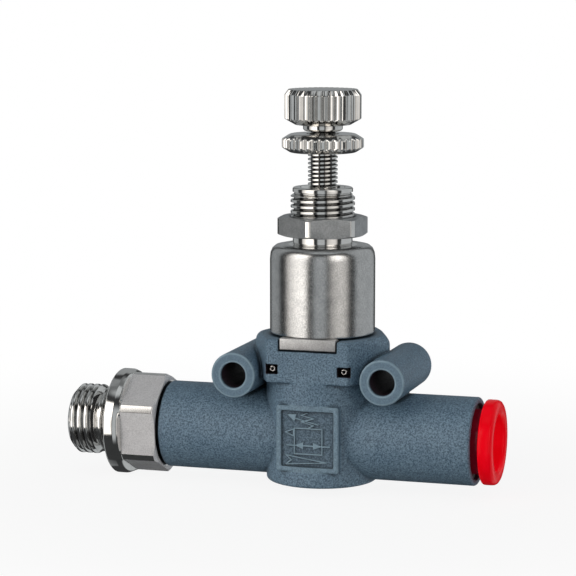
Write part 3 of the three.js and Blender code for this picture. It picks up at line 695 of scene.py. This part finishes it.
def surface_net(field, xs, ys, zs):
    """Points and quads on the zero level of a field that is sampled on a grid and positive at its border."""
    grid = (xs, ys, zs)
    cells = tuple(n - 1 for n in field.shape)
    total = np.zeros((*cells, 3), np.float32)
    hits = np.zeros(cells, np.int8)
    for axis in range(3):
        a, b = ends(field, axis, slice(None))
        index = np.nonzero((a < 0) != (b < 0))
        share = a[index] / (a[index] - b[index])
        point = [grid[k][index[k]] for k in range(3)]
        line = grid[axis]
        point[axis] = line[index[axis]] + share * (line[index[axis] + 1] - line[index[axis]])
        point = np.stack(point, axis=-1)
        first, second = (k for k in range(3) if k != axis)
        for back_first, back_second in ((0, 0), (0, 1), (1, 0), (1, 1)):
            cell = list(index)
            cell[first] = index[first] - back_first
            cell[second] = index[second] - back_second
            np.add.at(total, tuple(cell), point)
            np.add.at(hits, tuple(cell), 1)
    used = hits > 0
    number = np.full(cells, -1, np.int64)
    number[used] = np.arange(np.count_nonzero(used))
    verts = total[used] / hits[used][:, None]
    faces = []
    for axis in range(3):
        a, b = ends(field < 0, axis, slice(1, -1))
        u, v = (axis + 1) % 3, (axis + 2) % 3
        for starts_inside in (True, False):
            index = np.nonzero((a == starts_inside) & (b != starts_inside))
            cell = [index[k] + (0 if k == axis else 1) for k in range(3)]
            ring = []
            for du, dv in ((1, 1), (0, 1), (0, 0), (1, 0)):
                spot = list(cell)
                spot[u] = cell[u] - du
                spot[v] = cell[v] - dv
                ring.append(number[tuple(spot)])
            ring = ring if starts_inside else ring[::-1]
            faces.append(np.stack(ring, axis=-1))
    return verts, np.concatenate(faces)


def gradient(field, points, reach=0.01):
    sides = [field(*(points + step).T) - field(*(points - step).T) for step in reach * np.eye(3)]
    return np.stack(sides, axis=-1) / (2 * reach)


def onto_surface(field, points, limit, rounds=3):
    """Moves points along the field's slope until they lie on its zero level."""
    for _ in range(rounds):
        slope = gradient(field, points)
        size = np.maximum((slope**2).sum(axis=1), 0.2)
        step = -field(*points.T)[:, None] * slope / size[:, None]
        length = np.maximum(np.linalg.norm(step, axis=1, keepdims=True), 1e-9)
        points = points + step * np.minimum(1, limit / length)
    return points


def body_moulding():
    """The body's mesh: finer between its waists, where the detail is, and coarser along the arms."""
    fine = 0.17
    coarse = 0.3
    waist = 19.0
    low, high = BODY_LOW - 1.0, BODY_HIGH + 1.0
    spans = ((low[0], -waist, coarse), (-waist, waist, fine), (waist, high[0], coarse))
    xs = np.concatenate([np.arange(*span) for span in spans])
    ys = np.arange(low[1], high[1], fine)
    zs = np.arange(low[2], high[2], fine)
    xs, ys, zs = (line.astype(np.float32) for line in (xs, ys, zs))
    field = body_field(xs[:, None, None], ys[None, :, None], zs[None, None, :])
    verts, quads = surface_net(field, xs, ys, zs)
    verts = onto_surface(body_field, verts.astype(float), 0.5 * fine)
    mesh = mesh_from("body_moulding", verts, quads)
    finished("body_moulding", mesh, "moulded_plastic", "root", "valve_body", sharp=None)
    slope = gradient(body_field, verts)
    slope /= np.linalg.norm(slope, axis=1, keepdims=True)
    mesh.normals_split_custom_set_from_vertices(slope.astype(np.float32))


# ---------- the label's raised flow symbol ----------

def label_strokes():
    """A generic regulator symbol: strokes and filled triangles, in shares of the panel from its top left."""
    left, right, top, bottom, flow = 0.25, 0.78, 0.31, 0.77, 0.62
    lines = [
        [(left, top), (right, top), (right, bottom), (left, bottom), (left, top)],
        [(0.10, flow), (0.93, flow)],
        [(0.08, 0.39), (0.23, 0.33), (0.23, 0.45), (0.08, 0.39)],
        [(0.50, 0.03), (0.38, 0.075), (0.62, 0.13), (0.38, 0.19), (0.62, 0.25), (0.50, 0.31)],
        [(0.26, 0.13), (0.70, 0.235)],
        [(0.09, 0.80), (0.86, 0.905), (0.09, 0.965), (0.19, 0.885), (0.09, 0.80)],
    ]
    solids = [
        [(left + 0.01, flow), (0.42, flow - 0.062), (0.42, flow + 0.062)],
        [(right - 0.01, flow), (0.61, flow - 0.062), (0.61, flow + 0.062)],
        [(0.11, 0.07), (0.29, 0.06), (0.25, 0.185)],
    ]
    return lines, solids


def segment_distance(x, z, a, b):
    run = np.subtract(b, a)
    share = np.clip(((x - a[0]) * run[0] + (z - a[1]) * run[1]) / (run @ run), 0, 1)
    return np.hypot(x - a[0] - share * run[0], z - a[1] - share * run[1])


def triangle_distance(x, z, points):
    """Distance outside a triangle, negative inside it."""
    nearest = np.minimum.reduce([segment_distance(x, z, points[i], points[i - 1]) for i in range(3)])
    turns = []
    for i in range(3):
        (ax, az), (bx, bz) = points[i - 1], points[i]
        turns.append(np.sign((bx - ax) * (z - az) - (bz - az) * (x - ax)))
    inside = (turns[0] == turns[1]) & (turns[1] == turns[2])
    return np.where(inside, -nearest, nearest)


def label_panel():
    """A thin plate in the label's recess that carries the raised symbol."""
    half = LABEL_HALF - LABEL_BAND
    low, high = LABEL_LOW + LABEL_BAND, LABEL_TOP - LABEL_BAND
    step = 0.06
    xs = np.linspace(-half - 0.05, half + 0.05, int(2 * half / step))
    zs = np.linspace(low - 0.05, high + 0.05, int((high - low) / step))
    x, z = np.meshgrid(xs, zs, indexing="ij")

    def spot(point):
        return (-half + 2 * half * point[0], high - (high - low) * point[1])

    lines, solids = label_strokes()
    away = np.full(x.shape, 9.0)
    for stroke in lines:
        for a, b in zip(stroke, stroke[1:]):
            away = np.minimum(away, segment_distance(x, z, spot(a), spot(b)) - 0.13)
    for corner_points in solids:
        away = np.minimum(away, triangle_distance(x, z, [spot(p) for p in corner_points]) - 0.04)
    flank, stroke_height = 0.11, 0.26
    rise = np.clip(0.5 - away / flank, 0, 1)
    rise = stroke_height * rise * rise * (3 - 2 * rise)
    floor = LABEL_FACE - LABEL_RECESS + 0.04
    front = np.stack([x, -floor - rise, z], axis=-1).reshape(-1, 3)
    rows, columns = x.shape
    back = front.copy()
    back[:, 1] = -floor + 0.3
    face = grid_quads(rows, columns)
    behind = face[:, ::-1] + len(front)
    border = np.concatenate([
        np.arange(columns), np.arange(1, rows) * columns + columns - 1,
        (rows - 1) * columns + np.arange(columns - 2, -1, -1), np.arange(rows - 2, 0, -1) * columns,
    ])
    after = np.roll(border, -1)
    side = np.stack([border, after, after + len(front), border + len(front)], axis=-1)
    parts = [(np.concatenate([front, back]), np.concatenate([face, behind, side]))]
    return piece("label_panel", parts, "moulded_plastic", "root", sharp=50.0)


# ---------- bonnet ----------

def bonnet_shell():
    """The turned shell: skirt with its groove, cup with a round shoulder, threaded neck, and the bores."""
    count = 160
    low, top = BONNET_LOW, BONNET_HIGH
    start, stop = BONNET_TOP + 2.45, top - 1.15
    bore, seam, bore_top, screw_bore = 5.2, 20.0, 31.5, 2.78
    skirt, groove_floor, groove_low, groove_high = 7.55, 6.0, PIN_Z - 0.75, PIN_Z + 0.75
    lead, relief, collar = 5.2, 5.45, 5.5
    below = turned([
        (bore, seam, 0), (bore, low, 0.15), (skirt, low, 0.2), (skirt, groove_low, 0.08),
        (groove_floor, groove_low, 0.1), (groove_floor, groove_high, 0.1), (skirt, groove_high, 0.08),
        (skirt, BONNET_RIM, 0.12), (BONNET_RADIUS - 0.35, BONNET_RIM, 0.1),
        (BONNET_RADIUS, BONNET_RIM + 0.25, 0.15),
        (BONNET_RADIUS, BONNET_TOP, 2.6), (5.6, BONNET_TOP, 0.15), (5.3, BONNET_TOP + 0.12, 0.1),
        (relief, BONNET_TOP + 0.4, 0.1), (relief, start - 0.25, 0.1), (lead, start, 0),
    ], count)
    ridge = thread(start, stop, lead, NECK_CREST, NECK_ROOT, NECK_PITCH, count, 1.6)
    above = turned([
        (lead, stop, 0), (lead, stop + 0.25, 0.06), (collar, stop + 0.32, 0.06), (collar, top - 0.2, 0.12),
        (5.25, top, 0.12), (4.15, top, 0.1), (3.85, top - 0.9, 0.1), (screw_bore, top - 1.1, 0.08),
        (screw_bore, bore_top, 0.1), (bore, bore_top, 0.2), (bore, seam, 0),
    ], count)
    return piece("bonnet_shell", [below, ridge, above], "bonnet_nickel", "root", "bonnet")


def bonnet_tongues():
    """The two ends of the plate under the bonnet's rim, which key it to the body."""
    for name, side in (("bonnet_tongue_front", -1), ("bonnet_tongue_rear", 1)):
        middle = Vector((0, side * (7.2 + TONGUE_REACH) / 2, (TONGUE_LOW + BONNET_RIM + 0.2) / 2))
        size = Vector((2 * TONGUE_HALF, TONGUE_REACH - 7.2, BONNET_RIM + 0.2 - TONGUE_LOW))
        work = bmesh.new()
        bmesh.ops.create_cube(work, size=1.0)
        for vert in work.verts:
            vert.co = middle + vert.co * size
        bmesh.ops.bevel(work, geom=list(work.edges), offset=0.2, segments=3, profile=0.5, affect="EDGES")
        for vert in work.verts:
            vert.co = (vert.co + Vector(LIFT)) * MM
        mesh = bpy.data.meshes.new(name)
        work.to_mesh(mesh)
        work.free()
        finished(name, mesh, "plate_nickel", "root", None)


def rolled_pin(name, side, node):
    """A slotted spring pin, rolled from strip, with crowned ends."""
    outer, inner, half, gap, slot_at = PIN_RADIUS, 0.32, PIN_HALF, 0.28, math.radians(200.0)
    columns = 40
    turn = slot_at + np.linspace(gap, 2 * np.pi - gap, columns)[:, None]
    near = [
        (inner, 0.1 - half, 0), (inner, -half, 0.06), (outer - 0.12, -half, 0.08), (outer, 0.35 - half, 0.12),
    ]
    path = outline(near + [(radius, -height, ease) for radius, height, ease in near[::-1]])[0]
    rows = len(path)
    radius, height = path[None, :, 0], path[None, :, 1] + 0 * turn
    verts = np.stack([radius * np.cos(turn), radius * np.sin(turn), height], axis=-1).reshape(-1, 3)
    quads = grid_quads(columns, rows, closed_columns=True)
    caps = []
    for base in (0, (columns - 1) * rows):
        for k in range(rows // 2 - 1):
            caps.append([base + k, base + k + 1, base + rows - 2 - k, base + rows - 1 - k])
    parts = [along_y((verts, np.concatenate([quads, caps])), side * PIN_X, PIN_Z)]
    return piece(name, parts, "pin_steel", "root", node)


# ---------- nuts and knobs ----------

def hexagon(count, flats, corner_angle, reach):
    """Radius of a hexagon at each column, its corners turned down to a circle past the reach, in degrees."""
    angle = np.degrees(2 * np.pi * np.arange(count) / count)
    off_flat = np.radians((angle - corner_angle) % 60 - 30)
    radius = flats / 2 / np.cos(off_flat)
    return np.minimum(radius, flats / 2 / math.cos(math.radians(reach)))


def knurl(count, radius, teeth, depth=0.5):
    """Radius at each column of a straight knurl: rounded crests with V grooves between them."""
    phase = (np.arange(count) * teeth / count) % 1
    away = np.abs(phase - 0.5) / 0.5
    slope = np.clip(1.18 - away * 1.5, 0, 1)
    return radius - depth * slope**1.15


def chamfered(radius, plane, start, run, rise):
    """Where a cone from (start, plane) meets each column's radius, as the height of that edge."""
    return plane - np.maximum(radius - start, 0) * rise / run


def nut(name, body, material, radius, low, high, bore, lead, cone, eases, sharp=32.0):
    """A nut with its bore countersunk by (run, rise) and its rim chamfered by a cone, alike on both faces."""
    bore_ease, face_ease, rim_ease = eases
    upper = [
        (bore, high - lead[1], bore_ease), (bore + lead[0], high, bore_ease),
        (np.minimum(cone[0], radius), high, face_ease), (radius, chamfered(radius, high, *cone), rim_ease),
    ]
    lower = [(across, low + high - height, ease) for across, height, ease in upper[::-1]]
    seam = [(bore, (low + high) / 2, 0)]
    return piece(name, [turned(seam + upper + lower + seam, len(radius))], material, body, body, sharp)


def panel_nut():
    radius = hexagon(360, 14.8, -93.0, 27.0)
    bore, lead, cone, eases = NECK_CREST + 0.06, (0.3, 0.25), (7.42, 1.05, 0.36), (0.05, 0.06, 0.09)
    sizes = (radius, NUT_LOW, NUT_HIGH, bore, lead, cone, eases)
    return nut("panel_nut_hex", "panel_nut", "nut_nickel", *sizes, sharp=24.0)


def knurled_lock_nut():
    teeth = 34
    radius = knurl(teeth * 10, 7.46, teeth)
    bore, lead, cone, eases = 2.78, (0.4, 0.35), (5.96, 1.53, 0.95), (0.1, 0.3, 0.2)
    sizes = (radius, LOCK_LOW, LOCK_HIGH, bore, lead, cone, eases)
    return nut("knurled_lock_nut", "lock_nut", "bright_nickel", *sizes)


def knurled_knob():
    teeth = 36
    count = teeth * 10
    low, top, hub_low, seat = 56.75, KNOB_HIGH, KNOB_LOW, KNOB_HIGH - 2.4
    bore, hub, seam = 2.44, 3.6, 57.5
    radius = knurl(count, 7.0, teeth)
    parts = [turned([
        (bore, seam, 0), (bore, hub_low, 0.1), (hub - 0.3, hub_low, 0.1), (hub, hub_low + 0.3, 0.12),
        (hub, low, 0.1), (5.0, low, 0.15), (radius, chamfered(radius, low, 5.0, 2.03, -1.15), 0.12),
        (radius, top - 1.0, 0.12), (radius - 0.7, top, 0.12), (5.4, top, 0.1), (5.2, top - 0.1, 0.1),
        (0, top - 0.1, 0),
    ], count)]
    parts.append(turned([(0, seat, 0), (bore, seat, 0.1), (bore, seam, 0)], count))
    return piece("knurled_knob", parts, "bright_nickel", "adjuster", "knob")


def adjusting_spindle():
    count = 96
    low, hub, top = SCREW_LOW, KNOB_LOW, SCREW_HIGH
    start, stop = low + 0.5, hub - 0.1
    end_radius, shank = SCREW_ROOT - 0.08, 2.38
    parts = [
        turned([(0, low, 0), (end_radius - 0.35, low, 0.08), (end_radius, start, 0)], count),
        thread(start, stop, end_radius, SCREW_CREST, SCREW_ROOT, SCREW_PITCH, count, 1.5),
        turned([
            (end_radius, stop, 0), (shank, hub, 0.05), (shank, top - 0.3, 0.1), (shank - 0.28, top, 0.1),
            (0, top, 0),
        ], count),
    ]
    return piece("adjusting_spindle", parts, "bright_nickel", "adjuster", "adjusting_screw")


# ---------- stud and collar, made along Z and laid along X ----------

def groove(radius, floor, low, high, ease):
    """The four corners of a square groove in a cylinder."""
    return [(radius, low, ease), (floor, low, ease), (floor, high, ease), (radius, high, ease)]


def stud_fitting():
    count = 360
    end, tail = STUD_LEFT, STUD_RIGHT
    start, stop = end + 0.25, RIB_LEFT - 0.6
    lead, relief, shank, bore = 5.65, 5.55, 5.5, 3.6
    face_inner, face_outer, face_depth = 7.0, 8.5, 0.9
    radius = hexagon(count, HEX_FLATS, HEX_CORNER, 26.0)
    cone = (8.75, 0.9, 0.6)
    mouth = turned([
        (bore, end + 6, 0), (bore, end + 0.35, 0.1), (bore + 0.5, end, 0.1), (lead - 0.25, end, 0.1),
        (lead, start, 0),
    ], count)
    ridge = thread(start, stop, lead, STUD_CREST, STUD_ROOT, STUD_PITCH, count, 1.1, 0.3)
    neck = [
        (lead, stop, 0), (relief, stop + 0.1, 0.05), (relief, RIB_LEFT, 0.08),
        (RIB_RADIUS - 0.15, RIB_LEFT, 0.08), (RIB_RADIUS, RIB_LEFT + 0.15, 0.08),
        (RIB_RADIUS, RIB_RIGHT - 0.15, 0.08), (RIB_RADIUS - 0.15, RIB_RIGHT, 0.08),
        (relief, RIB_RIGHT, 0.1), (relief, FLANGE_LEFT, 0.15),
    ]
    flange = [
        (face_inner, FLANGE_LEFT, 0.06), (face_inner, FLANGE_LEFT + face_depth, 0.06),
        (face_outer, FLANGE_LEFT + face_depth, 0.06), (face_outer, FLANGE_LEFT, 0.06),
        (FLANGE_RADIUS - 0.3, FLANGE_LEFT, 0.1), (FLANGE_RADIUS, FLANGE_LEFT + 0.3, 0.12),
        (FLANGE_RADIUS, FLANGE_RIGHT - 1.1, 0.15), (FLANGE_RADIUS - 0.3, FLANGE_RIGHT - 0.25, 0.2),
    ]
    spanner_hex = [
        (radius + 0.12, FLANGE_RIGHT - 0.02, 0.05), (radius, FLANGE_RIGHT + 0.06, 0.05),
        (radius, chamfered(radius, HEX_RIGHT, *cone), 0.12), (np.minimum(cone[0], radius), HEX_RIGHT, 0.08),
    ]
    spigot = [
        (shank, HEX_RIGHT, 0.1), *groove(shank, 4.95, SNAP_LEFT, SNAP_RIGHT, 0.06),
        *groove(shank, 4.55, -22.3, -20.7, 0.06), (shank, tail - 0.5, 0.1), (shank - 0.5, tail, 0.1),
        (bore + 0.2, tail, 0.1), (bore, tail - 0.2, 0.1), (bore, end + 6, 0),
    ]
    parts = [mouth, ridge, turned(neck + flange + spanner_hex + spigot, count)]
    return piece("stud_fitting", [along_x(p) for p in parts], "stud_nickel", "stud", "male_stud", sharp=24.0)


def red_collar():
    tip, face = COLLAR_LEFT, COLLAR_RIGHT
    collar = turned([
        (COLLAR_BORE, tip + 2, 0), (COLLAR_BORE, tip, 0.1), (COLLAR_SLEEVE - 0.3, tip, 0.1),
        (COLLAR_SLEEVE, tip + 0.4, 0.15), (COLLAR_SLEEVE, COLLAR_FACE, 0.2),
        (COLLAR_RADIUS, COLLAR_FACE, 0.45), (COLLAR_RADIUS, face, 1.05), (COLLAR_BORE + 0.45, face, 0.2),
        (COLLAR_BORE, face - 0.45, 0.2), (COLLAR_BORE, tip + 2, 0),
    ], 144)
    return piece("red_collar", [along_x(collar)], "red_plastic", "collar", "release_collar")


# ---------- springs ----------

def coil_spring(name, node, radius, wire, low, high, turns):
    """A compression spring swept as a round wire, a little closer at its ends, on a mesh of its own."""
    steps, around, closer = int(turns * 40), 14, 0.12
    share = np.linspace(0, 1, steps + 1)
    angle = 2 * np.pi * turns * share
    ease = np.clip((share - 0.5 / turns) / (1 - 1 / turns), 0, 1)
    ease = ease * ease * (3 - 2 * ease)
    height = low + wire + (high - low - 2 * wire) * (closer * ease + (1 - closer) * share)
    centre = np.stack([radius * np.cos(angle), radius * np.sin(angle), height], axis=-1)
    along = np.gradient(centre, axis=0)
    along /= np.linalg.norm(along, axis=1, keepdims=True)
    out = np.stack([np.cos(angle), np.sin(angle), 0 * angle], axis=-1)
    up = np.cross(along, out)
    section = 2 * np.pi * np.arange(around) / around
    ring = np.cos(section)[None, :, None] * out[:, None] + np.sin(section)[None, :, None] * up[:, None]
    point = np.ones((1, around, 1))
    verts = np.concatenate([centre[0] * point, centre[:, None] + wire * ring, centre[-1] * point])
    quads = grid_quads(len(verts), around, closed_columns=True)
    spring = piece(name, [(verts.reshape(-1, 3), quads)], "drawn_steel", "root", node)
    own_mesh(spring)


# ---------- build ----------

body_moulding()
label_panel()
bonnet_shell()
bonnet_tongues()
rolled_pin("slotted_pin_left", -1, "bonnet_pin_left")
rolled_pin("slotted_pin_right", 1, "bonnet_pin_right")
panel_nut()
knurled_knob()
knurled_lock_nut()
adjusting_spindle()
stud_fitting()
red_collar()
coil_spring("main_spring", "regulating_spring", 4.2, 0.59, 8.65, 26.15, 7)
coil_spring("return_spring", "poppet_spring", 2.1, 0.22, -6.95, -4.45, 4)

CARRIED = {
    "drawn_steel": ["spring_cap", "thrust_ball", "seat_retaining_ring", "stud_retaining_ring", "grip_ring"],
    "turned_brass": ["poppet", "seat_insert"],
    "black_acetal": ["collar_bush"],
    "natural_acetal": ["piston", "seal_washer"],
    "seal_rubber": [
        "piston_seal", "relief_seat", "poppet_seal", "seat_seal", "stud_face_seal", "stud_seal", "tube_seal",
    ],
}
for material, names in CARRIED.items():
    for name in names:
        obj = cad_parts[name]
        obj.data.materials.clear()
        obj.data.materials.append(MATERIALS[material])


# ---------- studio ----------

CAMERA_AZIMUTH, CAMERA_ELEVATION, CAMERA_DISTANCE = 16.15, 11.5, 426.9
AIM = (-6.41, 26.63)
LENS = 144.2


def camera():
    a, e = math.radians(CAMERA_AZIMUTH), math.radians(CAMERA_ELEVATION)
    back = Vector((math.sin(a) * math.cos(e), -math.cos(a) * math.cos(e), math.sin(e)))
    right = Vector((math.cos(a), math.sin(a), 0))
    up = back.cross(right)
    data = bpy.data.cameras.new("camera")
    data.lens = LENS
    data.clip_start, data.clip_end = 0.01, 10.0
    obj = bpy.data.objects.new("camera", data)
    bpy.context.scene.collection.objects.link(obj)
    axes = Vector(LIFT) * MM
    place = axes + back * CAMERA_DISTANCE * MM
    aim = axes + (right * AIM[0] + up * AIM[1]) * MM
    obj.location = place
    obj.rotation_mode = "QUATERNION"
    obj.rotation_quaternion = (aim - place).to_track_quat("-Z", "Y")
    bpy.context.scene.camera = obj


class World(Wiring):
    """Soft boxes painted on the sky by azimuth and elevation; the camera itself sees plain white."""

    def __init__(self):
        world = bpy.data.worlds.new("studio")
        world.use_nodes = True
        bpy.context.scene.world = world
        self.tree = world.node_tree
        self.tree.nodes.clear()
        x, y, z = self.new("SeparateXYZ", Vector=self.new("TexCoord").outputs["Generated"]).outputs
        turn = math.radians(CAMERA_AZIMUTH)
        side = self.add(self.times(x, math.cos(turn)), self.times(y, math.sin(turn)))
        front = self.add(self.times(x, math.sin(turn)), self.times(y, -math.cos(turn)))
        self.azimuth = self.times(self.math("ARCTAN2", side, front), 180 / math.pi)
        self.height = self.times(self.math("ARCSINE", z), 180 / math.pi)

    def edge(self, value, start, stop):
        return self.ramp(value, 0.0, 1.0, start, stop, smooth=True)

    def window(self, value, low, high, soft):
        rise = self.edge(value, low - soft, low + soft)
        fall = self.edge(value, high + soft, high - soft)
        return self.times(rise, fall)

    def panel(self, azimuths, heights, strength, soft=4.0, soft_height=6.0):
        across = self.window(self.azimuth, *azimuths, soft)
        return self.times(self.times(across, self.window(self.height, *heights, soft_height)), strength)


def studio_world():
    """Soft boxes with lamps in them before the object, a light over it, and grey walls round it."""
    w = World()
    path = w.new("LightPath")
    seen_diffuse = path.outputs["Is Diffuse Ray"]
    turned_away = w.math("ABSOLUTE", w.azimuth)
    front = w.panel((-20.0, 8.0), (-34.0, 36.0), 0.42, 4.0, 10.0)
    right_wall = w.panel((76.0, 150.0), (-60.0, 60.0), 0.41, 3.0, 20.0)
    left_wall = w.panel((-150.0, -108.0), (-60.0, 60.0), 0.31, 4.0, 20.0)
    behind = w.times(w.edge(turned_away, 156.0, 168.0), w.window(w.height, 0.0, 46.0, 5.0))
    behind = w.times(behind, w.add(w.times(seen_diffuse, -0.2), 0.26))
    before = w.edge(turned_away, 90.0, 50.0)
    ceiling = w.add(w.times(before, 0.36), w.add(w.times(seen_diffuse, -0.06), 0.13))
    overhead = w.times(w.window(w.height, 60.0, 100.0, 6.0), ceiling)
    cool = w.add(w.add(w.add(front, 0.04), w.add(right_wall, left_wall)), w.add(overhead, behind))
    ramped = w.times(w.edge(w.azimuth, -98.0, -50.0), 1.25)
    left = w.times(w.panel((-86.0, -35.0), (-20.0, 44.0), 1.0, 3.0, 3.0), w.add(ramped, 0.35))
    hot = w.times(w.edge(w.azimuth, 14.0, 38.0), w.edge(w.azimuth, 62.0, 44.0))
    right = w.times(w.panel((16.0, 58.0), (-21.0, 40.0), 1.0, 4.0, 4.0), w.add(w.times(hot, 0.32), 0.45))
    left_lamp = w.panel((-76.0, -33.0), (17.0, 44.0), 0.7, 5.0, 4.0)
    right_lamp = w.panel((20.0, 50.0), (13.0, 44.0), 1.3, 6.0, 4.0)
    lamps = w.times(w.add(left_lamp, right_lamp), w.add(w.times(seen_diffuse, -1.0), 1.0))
    warm = w.add(w.add(left, right), lamps)
    shares = zip((0.95, 1.0, 1.03), (1.0, 0.965, 0.925))
    tint = w.fed("CombineColor", [w.add(w.times(cool, a), w.times(warm, b)) for a, b in shares])
    lit = w.new("Background", Color=tint.outputs[0], Strength=w.add(w.times(seen_diffuse, 0.45), 1.0))
    plain = w.new("Background", Color=(1, 1, 1, 1))
    mixed = w.fed("MixShader", (path.outputs["Is Camera Ray"], lit.outputs[0], plain.outputs[0]))
    w.new("OutputWorld", Surface=mixed.outputs[0])


def floor():
    """A pale sweep under the object that fades to the white of the backdrop."""
    mesh = bpy.data.meshes.new("floor")
    size, level = 4.0, cad_box[0][2] - 0.0002
    square = [(-size, -size, level), (size, -size, level), (size, size, level), (-size, size, level)]
    mesh.from_pydata(square, [], [(0, 1, 2, 3)])
    obj = bpy.data.objects.new("floor", mesh)
    bpy.context.scene.collection.objects.link(obj)
    n = Nodes("floor")
    away = n.fed("VectorMath", [n.place], "LENGTH")
    fade = n.ramp(away.outputs["Value"], 0.11, 0.0, 0.03, 0.16, smooth=True)
    pale = n.new("BsdfDiffuse", Color=(0.9, 0.9, 0.9, 1))
    seen = n.fed("MixShader", (fade, n.new("Emission").outputs[0], pale.outputs[0]))
    n.fill(n.tree.nodes["Material Output"], Surface=seen.outputs[0])
    n.tree.nodes.remove(n.shader)
    mesh.materials.append(n.material)
    obj.visible_glossy = False
    obj.visible_diffuse = False


camera()
studio_world()
floor()
bpy.context.scene.view_settings.view_transform = "Standard"
